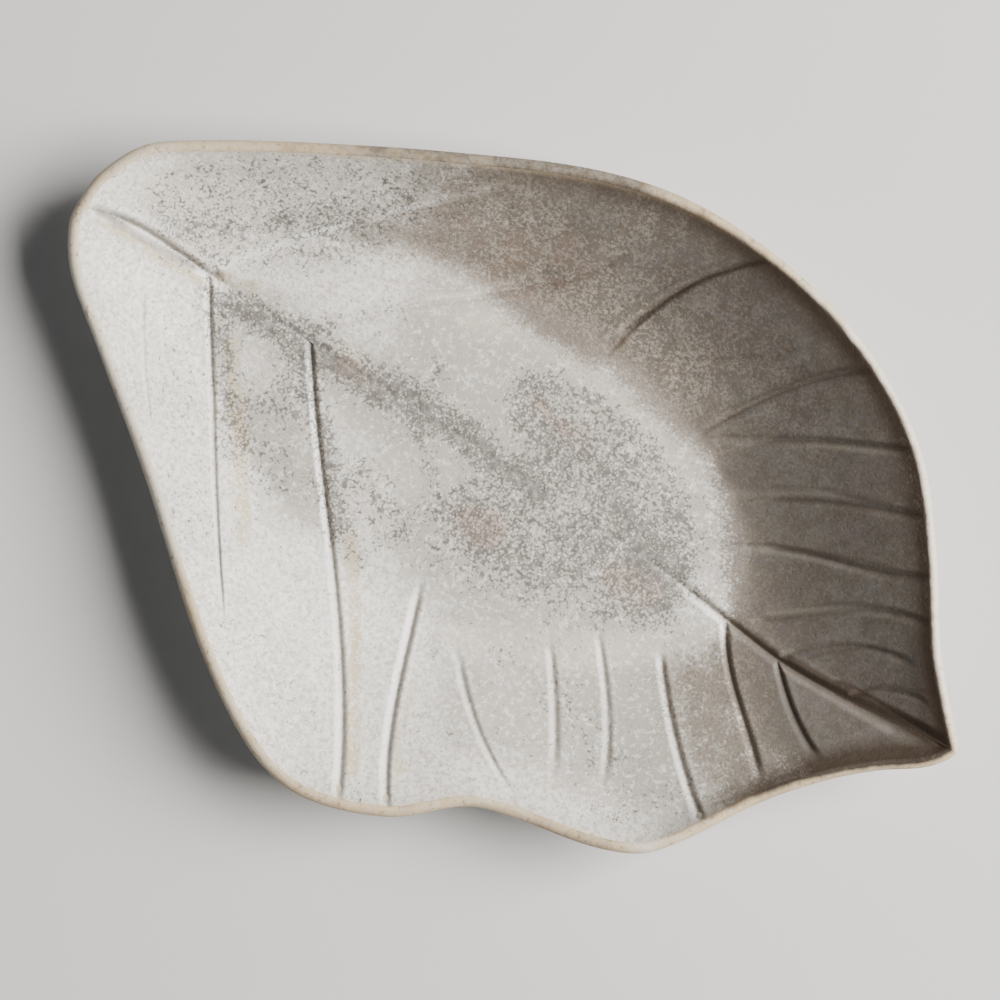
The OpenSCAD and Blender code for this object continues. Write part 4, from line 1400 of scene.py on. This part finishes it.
def thin_glaze(tree, finish, grains, deep_and_shade):
    """The thin glaze of the walls: taupe, darker and clouded where it is thinnest and where painted shade
    lies on the wall that faces away from the key light, with pale flecks, a dark grain and painted
    highlights on the ridges."""
    clouds = mixed(tree, eased(tree, grains["cloud"], 0.44, 0.60), finish.slate, finish.mauve)
    clouded = eased(tree, grains["drift"], 0.40, 0.62, 0.0, 0.55)
    darkest = mixed(tree, clouded, finish.deep_taupe_and_shade, clouds)
    walls = mixed(tree, deep_and_shade, finish.taupe, darkest)
    flecks = scaled(tree, attribute(tree, "flecks"), 0.50, 0.32)
    flecks = product(tree, flecks, eased(tree, deep_and_shade, 0.0, 1.0, 1.0, 0.22))
    flecks = product(tree, flecks, eased(tree, grains["mottle"], 0.35, 0.85))
    walls = mixed(tree, flecks, walls, finish.fleck_and_highlight)
    walls = layered(tree, walls, grains, finish, WALL_LAYERS)
    # Painted highlight on the ridges of the thin glaze
    return mixed(tree, product(tree, attribute(tree, "pale"), PALE_HIGHLIGHT_STRENGTH), walls, finish.fleck_and_highlight)


def stained_and_shaded(tree, finish, base, thin, deep_and_shade, wander):
    """The glaze with brown in its veins: the strongest of the brown strokes, which are partly real brown
    stains and partly painted shade on the steep flanks, the grooves where the glaze is thin, and the
    painted shade at the foot of each steep flank."""
    brown = product(tree, marking(tree, "brown", wander), BROWN_AND_SHADE_STRENGTH)
    in_vein = product(tree, eased(tree, attribute(tree, "groove"), 0.2, 0.9), thin)
    # Painted shade at the foot of each steep flank, stronger where the glaze is thin
    crease_shade = product(tree, attribute(tree, "crease_shade"), eased(tree, thin, 0.0, 1.0, 0.66, 0.85))
    stain_and_shade = calc(tree, "MAXIMUM", brown, product(tree, in_vein, VEIN_STRENGTH))
    tone = mixed(tree, deep_and_shade, finish.groove, finish.scorch_and_shade)
    return mixed(tree, calc(tree, "MAXIMUM", stain_and_shade, crease_shade), base, tone)


def beside_lip(tree, finish, base, drift):
    """The glaze's edge: darkened over a reach that drifts, partly a real break of the glaze and partly
    painted shade where the wall curls up to the lip, and toasted in a narrow band where that dark band is
    weak."""
    # Painted shade, with a real break of the glaze: the dark band beside the lip
    from_lip, scorch_and_shade = attribute(tree, "from_lip"), attribute(tree, "scorch_and_shade")
    near_lip = beside(tree, from_lip, scaled(tree, drift, SCORCH_AND_SHADE_DRIFT, SCORCH_AND_SHADE_REACH))
    scorched_and_shaded = calc(tree, "MULTIPLY", near_lip, scorch_and_shade, clamp=True)
    base = mixed(tree, product(tree, scorched_and_shaded, SCORCH_AND_SHADE_STRENGTH), base, finish.scorch_and_shade)
    toasted = product(tree, beside(tree, from_lip, TOASTED_EDGE), attribute(tree, "toast"))
    toasted = product(tree, toasted, calc(tree, "SUBTRACT", 1.0, scorch_and_shade, clamp=True))
    return mixed(tree, product(tree, toasted, TOAST_STRENGTH), base, finish.toasted_clay)


def glaze_material(finish):
    """The upper face's glaze.

    Over the clean pale glaze, with its painted grey shade and the painted highlight on each vein's long
    flank, come the thin taupe glaze of the walls, darkest where painted shade lies on the wall that faces
    away from the key light, rust, iron specks, brown in the veins with painted shade at the foot of each
    steep flank, and the dark band beside the lip, partly a real break of the glaze and partly painted
    shade.
    """
    material, tree, shader, here = new_material("leaf_glaze")
    grains = noises(tree, here, "wool", "blotch", "drift", "cloud")
    mottle = grains["mottle"] = use_group(tree, MOTTLE, Vector=here, Spacing=finish.fleck_size)
    drift, blotch = grains["drift"], grains["blotch"]
    wander = scaled(tree, drift, 0.6, product(tree, grains["cloud"], 0.4))
    wander = calc(tree, "SUBTRACT", wander, 0.5)
    extra = eased(tree, attribute(tree, "specks"), 0.95, 1.0, 0.0, SPECK_EXTRA)
    density = scaled(tree, attribute(tree, "specks"), SPECK_SHARE, extra)
    density = scaled(tree, wander, SPECK_WANDER_SHARE, density)
    base = pale_glaze(tree, finish, grains, density, wander)

    frayed = scaled(tree, attribute(tree, "taupe"), TAUPE_SHARE, TAUPE_OFFSET)
    frayed = scaled(tree, mottle, TAUPE_MOTTLE_SHARE, frayed)
    thin = ragged(tree, frayed, wander, *MARKING_EDGES["taupe"])
    # Partly the thinnest glaze, partly painted shade on the wall away from the key light
    deep_and_shade = marking(tree, "deep_and_shade", wander)
    walls = thin_glaze(tree, finish, grains, deep_and_shade)
    base = mixed(tree, product(tree, thin, TAUPE_STRENGTH), base, walls)

    flecked = eased(tree, mottle, 0.1, 0.9, 0.62, 0.22)
    base = mixed(tree, product(tree, marking(tree, "rust", wander), flecked), base, finish.rust)
    specks = use_group(tree, SPECKS, Vector=here, Spacing=finish.speck_size, Density=density)
    veiled = eased(tree, blotch, 0.35, 0.60, 0.92, 0.62)
    base = mixed(tree, product(tree, specks, veiled), base, finish.speck)
    base = stained_and_shaded(tree, finish, base, thin, deep_and_shade, wander)
    base = beside_lip(tree, finish, base, drift)
    roughness = finish.glaze_roughness
    shine = eased(tree, blotch, 0.3, 0.7, roughness + 0.10, roughness - 0.06)
    finish_surface(tree, shader, here, base, shine, pits=0.35, depth=0.00030, strength=0.35)
    return material


def lip_material(finish):
    """Bare stoneware clay of the lip: pale where it was shielded in the kiln, through toasted to burnt
    where it wasn't, dark along its inner edge, partly a real break of the glaze and partly painted shade on
    the sides that face away from the key light, and darker below."""
    material, tree, shader, here = new_material("leaf_lip_clay")
    mottle = use_group(tree, MOTTLE, Vector=here, Spacing=LIP_MOTTLE_SPACING)
    off = calc(tree, "SUBTRACT", noises(tree, here, "lip tone")["lip tone"], 0.5)
    toasted = calc(tree, "MULTIPLY_ADD", off, 0.6, attribute(tree, "toast"), clamp=True)
    base = mixed(tree, eased(tree, toasted, 0.0, 0.5), finish.clay, finish.toasted_clay)
    base = mixed(tree, eased(tree, toasted, 0.45, 1.0), base, finish.burnt_clay)
    base = mixed(tree, product(tree, mottle, 0.15), base, finish.white_and_highlight)

    # Painted shade, with a real break of the glaze: the dark inner edge of the lip
    turn, scorch_and_shade = attribute(tree, "lip_turn"), attribute(tree, "scorch_and_shade")
    level = scaled(tree, off, 0.25, scaled(tree, scorch_and_shade, 0.28, -0.06))
    start, end = calc(tree, "SUBTRACT", level, 0.18), calc(tree, "ADD", level, 0.14)
    inner = calc(tree, "SUBTRACT", 1.0, eased(tree, turn, start, end))
    base = mixed(tree, calc(tree, "MULTIPLY", inner, scorch_and_shade, clamp=True), base, finish.scorch_and_shade)
    base = mixed(tree, eased(tree, turn, 0.55, 0.85, 0.0, 0.55), base, finish.foot_clay)
    spacing, density = LIP_SPECKS
    specks = use_group(tree, SPECKS, Vector=here, Spacing=spacing, Density=density)
    base = mixed(tree, product(tree, specks, 0.45), base, finish.groove)
    finish_surface(tree, shader, here, base, finish.clay_roughness, pits=0.5, depth=0.00025, strength=0.5)
    return material


def foot_material(finish):
    """Bare stoneware clay of the foot ring, with the grain and specks that wiping leaves."""
    material, tree, shader, here = new_material("leaf_foot_clay")
    grains = noises(tree, here, "foot tone", "foot grain")
    toned = eased(tree, grains["foot tone"], 0.35, 0.65, 0.35, 1.0)
    base = mixed(tree, toned, finish.clay, finish.foot_clay)
    base = layered(tree, base, grains, finish, FOOT_LAYERS)
    spacing, density = FOOT_SPECKS
    specks = use_group(tree, SPECKS, Vector=here, Spacing=spacing, Density=density)
    base = mixed(tree, product(tree, specks, 0.5), base, finish.groove)
    finish_surface(tree, shader, here, base, finish.clay_roughness, pits=0.8, depth=0.00025, strength=0.6)
    return material


def under_glaze_material(finish):
    """The same glaze underneath, plainer: clouds, grain and stray specks, toasted at its edges."""
    material, tree, shader, here = new_material("leaf_under_glaze")
    grains = noises(tree, here, "under wool", "under blotch", "cloud")
    base = layered(tree, finish.glaze, grains, finish, UNDER_LAYERS)
    specks = use_group(
        tree, SPECKS, Vector=here, Spacing=finish.speck_size, Density=UNDER_SPECK_DENSITY,
    )
    base = mixed(tree, product(tree, specks, 0.7), base, finish.speck)
    edge = beside(tree, attribute(tree, "from_edge"), UNDER_TOASTED_EDGE)
    base = mixed(tree, product(tree, edge, 0.60), base, finish.burnt_clay)
    blotch, roughness = grains["under blotch"], finish.glaze_roughness
    shine = eased(tree, blotch, 0.3, 0.7, roughness + 0.08, roughness - 0.04)
    finish_surface(tree, shader, here, base, shine, pits=0.35, depth=0.00030, strength=0.45)
    return material


def floor_material(studio):
    """A plain matt floor."""
    material, tree, shader, _ = new_material("studio_floor")
    put(tree, shader.inputs["Base Color"], studio.floor)
    put(tree, shader.inputs["Roughness"], studio.floor_roughness)
    return material


# Operators


def the_leaf(context):
    """The leaf's form, with its outline checked against the solid model's box."""
    leaf = Leaf(context.scene.plate_sizes)
    low, high = leaf.lip_box()
    model_low, model_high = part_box("clay_slab")
    ends = np.concatenate((low + leaf.shift - model_low[:2], high + leaf.shift - model_high[:2]))
    off = np.abs(ends).max()
    if off > OUTLINE_TOLERANCE:
        raise RuntimeError(f"the leaf is {off * 1000:.1f} mm off the solid model's outline")
    return leaf


def under_rings(leaf, foot, shares):
    """Rings of the underside: on each ray from the well's centre to the lip's foot, places at
    shares of the way from the well's edge, at the underside's height."""
    offset = foot[:, :2] - leaf.well_centre
    away = np.linalg.norm(offset, axis=1, keepdims=True)
    sizes = leaf.sizes
    start = oval_reach(leaf.bearing(foot[:, :2]), sizes.well_length, sizes.well_width)[:, None]
    rings = []
    for part in shares:
        plan = leaf.well_centre + offset / away * (start + (away - start) * part)
        rings.append(np.column_stack((plan, leaf.under_height(plan))))
    return rings


class LEAFPLATE_OT_clay(Operator):
    """Makes the clay slab: the veined upper face, the rounded lip and the underside."""

    bl_idname = "leafplate.clay"
    bl_label = "Clay slab"

    def execute(self, context):
        leaf = the_leaf(context)
        grid = LeafGrid(leaf)
        face = grid.points(grid.hidden_height(), HIDDEN_ROW_STEP)
        rim, runs = grid.rim_of(HIDDEN_ROW_STEP)
        sections = leaf.lip_sections(runs, NOSE_STEPS)
        under = under_rings(leaf, sections[-1], np.linspace(1, 0, UNDER_RINGS)[1:])
        rings = np.array([*sections, *under])
        rings[..., :2] += leaf.shift
        middle = (*(leaf.well_centre + leaf.shift), leaf.sizes.foot_height)
        points = np.concatenate((face, rings.reshape(-1, 3), [middle]))
        count = len(rim)
        numbers = [rim, *number_rings(len(face), len(rings), count)]
        last = numbers[-1]
        fan = np.stack((np.roll(last, -1), np.full(count, len(points) - 1), last), -1)
        faces = [*grid.faces(HIDDEN_ROW_STEP), *rings_faces(numbers), fan]
        turn = np.minimum(np.arange(1, len(rings) + 1) / NOSE_STEPS, 1)
        values = {"lip_turn": np.concatenate((np.zeros(len(face)), np.repeat(turn, count), (1,)))}
        for key, at_rim in (("toast", toast_at(leaf, runs)), ("scorch_and_shade", scorch_and_shade_at(leaf, runs))):
            on_face = np.zeros(len(face))
            on_face[rim] = at_rim
            values[key] = np.concatenate((on_face, np.tile(at_rim, len(rings)), at_rim[-1:]))
        material = lip_material(context.scene.plate_finish)
        make_piece("leaf_clay", points, faces, "clay_slab", material, values)
        return {"FINISHED"}


class LEAFPLATE_OT_top_glaze(Operator):
    """Makes the glaze on the upper face, with its markings as values at its vertices."""

    bl_idname = "leafplate.top_glaze"
    bl_label = "Top glaze"

    def execute(self, context):
        leaf = the_leaf(context)
        grid = LeafGrid(leaf)
        upper = grid.points(grid.glaze_height())
        lower = grid.points(grid.hidden_height(), HIDDEN_ROW_STEP)
        count = len(upper)
        hidden_rim, _ = grid.rim_of(HIDDEN_ROW_STEP)
        faces = [
            *grid.faces(), *(f[:, ::-1] + count for f in grid.faces(HIDDEN_ROW_STEP)),
            ring_faces(grid.rim, hidden_rim + count),
        ]
        values = {
            key: np.concatenate((grid.flat(numbers), grid.flat(numbers, HIDDEN_ROW_STEP)))
            for key, numbers in self.markings(leaf, grid).items()
        }
        uv = np.stack((grid.along, grid.across), -1)
        uv = np.concatenate((grid.flat(uv), grid.flat(uv, HIDDEN_ROW_STEP)))
        points = np.concatenate((upper, lower))
        material = glaze_material(context.scene.plate_finish)
        make_piece("leaf_top_glaze", points, faces, "top_glaze", material, values, uv)
        return {"FINISHED"}

    @staticmethod
    def markings(leaf, grid):
        """What the glaze needs to know at each place: the veins' layers, the distance from the lip, the
        clay's toast there and how far the band beside the lip is darkened by a real break of the glaze and
        painted shade, and the strokes of each marking."""
        runs = grid.joined(*(
            np.repeat(leaf.run_of(side, grid.shapes[:, first(side)])[:, None], ROWS + 1, axis=1)
            for side in SIDES
        ))
        places = leaf.picture_place(grid.plan)
        return {
            "groove": grid.dent / leaf.sizes.vein_depth,
            "lit": grid.lit,
            "crease_shade": grid.crease_shade,
            "from_lip": grid.from_lip,
            "toast": toast_at(leaf, runs),
            "scorch_and_shade": scorch_and_shade_at(leaf, runs),
            **{name: stroke_mask(places, *strokes) for name, strokes in MARKINGS.items()},
        }


class LEAFPLATE_OT_under_glaze(Operator):
    """Makes the glaze underneath: the coat outside the foot ring and the panel inside it."""

    bl_idname = "leafplate.under_glaze"
    bl_label = "Under glaze"

    def execute(self, context):
        leaf = the_leaf(context)
        sizes = leaf.sizes
        runs = LeafGrid(leaf).rim_runs
        count = len(runs)
        foot = leaf.lip_sections(runs, NOSE_STEPS)[-1]
        shares = np.concatenate((COAT_EDGE_RINGS, np.linspace(COAT_BODY_START, 0, UNDER_RINGS)))
        rings = under_rings(leaf, foot, shares)
        angle = leaf.bearing(foot[:, :2])[:, None]
        offset = foot[:, :2] - leaf.well_centre
        ahead = offset / np.linalg.norm(offset, axis=1, keepdims=True)
        for multiple in COAT_STRIP_RINGS:
            inset = sizes.foot_inset - multiple * sizes.bare_strip
            span = oval_reach(angle, sizes.well_length - 2 * inset, sizes.well_width - 2 * inset)
            plan = leaf.well_centre + ahead * span
            rings.append(np.column_stack((plan, np.full(count, sizes.foot_height))))
        inner = np.array(rings)
        inner[..., :2] += leaf.shift
        thickness = np.full(len(rings), sizes.under_coat)
        thickness[[0, -1]] = COAT_EDGE_SHARE * sizes.under_coat
        thickness[[1, -2]] = COAT_NEXT_SHARE * sizes.under_coat
        outer = inner.copy()
        outer[..., 2] -= thickness[:, None]
        steps = np.linalg.norm(np.diff(inner, axis=0), axis=-1)
        from_start = np.concatenate((np.zeros((1, count)), np.cumsum(steps, axis=0)))
        from_edge = np.minimum(from_start, from_start[-1] - from_start)
        total = len(rings) * count
        below = number_rings(0, len(rings), count)
        above = number_rings(total, len(rings), count)
        faces = [
            *rings_faces(below), *(f[:, ::-1] for f in rings_faces(above)),
            ring_faces(above[0], below[0]), ring_faces(below[-1], above[-1]),
        ]
        panel, panel_faces, panel_edge = self.panel(leaf, 2 * total)
        faces += panel_faces
        points = np.concatenate((outer.reshape(-1, 3), inner.reshape(-1, 3), panel))
        values = {"from_edge": np.concatenate((np.tile(from_edge.ravel(), 2), panel_edge))}
        material = under_glaze_material(context.scene.plate_finish)
        make_piece("leaf_under_glaze", points, faces, "under_glaze", material, values)
        return {"FINISHED"}

    @staticmethod
    def panel(leaf, start):
        """A flat coat inside the foot ring: nested ovals below and one oval above, thin at the
        edge, with its vertices numbered from start."""
        sizes = leaf.sizes
        steps = PANEL_STEPS
        outer = -sizes.foot_wall - sizes.bare_strip
        room = sizes.well_width / 2 - sizes.foot_inset + outer
        insets = np.array(PANEL_INSETS)
        insets = insets[insets < room * PANEL_ROOM_SHARE]
        heights = sizes.foot_height - sizes.under_coat * ease(*PANEL_THICKENING, insets)
        below = [oval(leaf, outer - inset, height, steps) for inset, height in zip(insets, heights)]
        above = oval(leaf, outer, sizes.foot_height, steps)
        centre = leaf.well_centre + leaf.shift
        ends = np.array(((*centre, sizes.foot_height - sizes.under_coat), (*centre, sizes.foot_height)))
        points = np.concatenate((above, *below, ends))
        rings = number_rings(start, 1 + len(below), steps)
        low, high = start + len(points) - 2, start + len(points) - 1
        fan_below = np.stack((np.roll(rings[-1], -1), np.full(steps, low), rings[-1]), -1)
        fan_above = np.stack((rings[0], np.full(steps, high), np.roll(rings[0], -1)), -1)
        edge = np.concatenate((np.zeros(steps), np.repeat(insets, steps), (room, room)))
        return points, [*rings_faces(rings), fan_below, fan_above], edge


class LEAFPLATE_OT_foot_ring(Operator):
    """Makes the foot ring: a wiped section carried round an oval."""

    bl_idname = "leafplate.foot_ring"
    bl_label = "Foot ring"

    def execute(self, context):
        leaf = the_leaf(context)
        sizes = leaf.sizes
        corners = (
            (0, sizes.foot_height), (-sizes.foot_slope, 0),
            (-sizes.foot_wall + sizes.foot_slope, 0), (-sizes.foot_wall, sizes.foot_height),
        )
        section = rounded(corners, sizes.foot_round, CORNER_STEPS)
        rings = [oval(leaf, grow, height, FOOT_STEPS) for grow, height in section]
        numbers = number_rings(0, len(rings), FOOT_STEPS)
        faces = [*rings_faces(numbers), ring_faces(numbers[-1], numbers[0])]
        material = foot_material(context.scene.plate_finish)
        make_piece("leaf_foot", np.concatenate(rings), faces, "foot_ring", material)
        return {"FINISHED"}


class LEAFPLATE_OT_stage(Operator):
    """Makes the floor, the lights and the camera at the photograph's angle."""

    bl_idname = "leafplate.stage"
    bl_label = "Stage"

    def execute(self, context):
        scene = context.scene
        studio = scene.plate_studio
        right, up, middle, view_width = self.picture(the_leaf(context))
        self.add_floor(scene, studio)
        self.add_key_light(scene, studio, right, up, middle)
        self.add_world(scene, studio)
        self.add_camera(scene, studio, right, middle, view_width)
        return {"FINISHED"}

    @staticmethod
    def picture(leaf):
        """The picture's right and up directions, its middle and its width at the rim, from the
        pixels of the leaf's two ends."""
        stem, tip = np.array(STEM_PX, float), np.array(TIP_PX, float)
        span = np.hypot(*(tip - stem))
        c, s = (tip - stem) / span
        scale = leaf.sizes.leaf_length / span
        right, up = np.array((c, s)), np.array((-s, c))
        offset = (PICTURE_SIDE_PX / 2 - stem) * scale
        middle = right * offset[0] - up * offset[1] + leaf.shift
        return right, up, middle, PICTURE_SIDE_PX * scale

    @staticmethod
    def add_floor(scene, studio):
        """A square on the table's plane, round the origin."""
        half = studio.floor_side / 2
        corners = [(-half, -half, 0), (half, -half, 0), (half, half, 0), (-half, half, 0)]
        mesh = bpy.data.meshes.new("floor")
        mesh.from_pydata(corners, [], [(0, 1, 2, 3)])
        mesh.materials.append(floor_material(studio))
        floor = bpy.data.objects.new("floor", mesh)
        scene.collection.objects.link(floor)

    @staticmethod
    def add_key_light(scene, studio, right, up, middle):
        """A square light that faces the picture's middle, from its bearing, height and distance
        there."""
        bearing, height = studio.key_bearing, studio.key_height
        level = right * math.cos(bearing) + up * math.sin(bearing)
        towards = np.array((*(level * math.cos(height)), math.sin(height)))
        light = bpy.data.lights.new("key", "AREA")
        light.shape = "SQUARE"
        light.size = studio.key_side
        light.energy = studio.key_power
        light.color = studio.key_colour
        lamp = bpy.data.objects.new("key", light)
        lamp.location = np.array((*middle, 0)) + towards * studio.key_distance
        turn = math.atan2(towards[1], towards[0]) + math.pi / 2
        lamp.rotation_euler = (math.acos(towards[2]), 0, turn)
        scene.collection.objects.link(lamp)

    @staticmethod
    def add_world(scene, studio):
        """The same weak light from all round."""
        world = bpy.data.worlds.new("studio")
        world.use_nodes = True
        background = world.node_tree.nodes["Background"]
        background.inputs["Color"].default_value = (*studio.sky_colour, 1)
        background.inputs["Strength"].default_value = studio.sky_strength
        scene.world = world

    @staticmethod
    def add_camera(scene, studio, right, middle, view_width):
        """A camera straight above the picture's middle, turned to the picture's right. Its lens
        is its sensor's width times its distance from the picture's plane, over the view's width."""
        camera = bpy.data.cameras.new("camera")
        away = studio.camera_height - studio.picture_plane
        camera.lens = camera.sensor_width * away / view_width
        seat = bpy.data.objects.new("camera", camera)
        seat.location = (*middle, studio.camera_height)
        seat.rotation_euler = (0, 0, math.atan2(right[1], right[0]))
        scene.collection.objects.link(seat)
        scene.camera = seat


class LEAFPLATE_PT_panel(Panel):
    """Lists the plate's sizes, finish and studio, and the steps that make it."""

    bl_idname = "LEAFPLATE_PT_panel"
    bl_label = "Leaf plate"
    bl_space_type = "VIEW_3D"
    bl_region_type = "UI"
    bl_category = "Leaf plate"

    def draw(self, context):
        layout = self.layout
        for step in STEPS:
            layout.operator(step.bl_idname)
        for name, kind in GROUPS.items():
            group = getattr(context.scene, name)
            box = layout.box()
            box.label(text=kind.__doc__)
            for key in group.__annotations__:
                box.prop(group, key)


STEPS = (
    LEAFPLATE_OT_clay, LEAFPLATE_OT_top_glaze, LEAFPLATE_OT_under_glaze, LEAFPLATE_OT_foot_ring,
    LEAFPLATE_OT_stage,
)
GROUPS = {"plate_sizes": PlateSizes, "plate_finish": PlateFinish, "plate_studio": PlateStudio}


def register():
    """Registers every class and gives scenes the plate's properties."""
    for kind in (*GROUPS.values(), *STEPS, LEAFPLATE_PT_panel):
        bpy.utils.register_class(kind)
    for name, kind in GROUPS.items():
        setattr(bpy.types.Scene, name, PointerProperty(type=kind))


def unregister():
    """Takes away what register adds, in the opposite order."""
    for name in GROUPS:
        delattr(bpy.types.Scene, name)
    for kind in reversed((*GROUPS.values(), *STEPS, LEAFPLATE_PT_panel)):
        bpy.utils.unregister_class(kind)


def main():
    """Registers the classes and makes every piece in order, then the stage."""
    register()
    bpy.ops.leafplate.clay()
    bpy.ops.leafplate.top_glaze()
    bpy.ops.leafplate.under_glaze()
    bpy.ops.leafplate.foot_ring()
    bpy.ops.leafplate.stage()


if __name__ == "__main__":
    main()
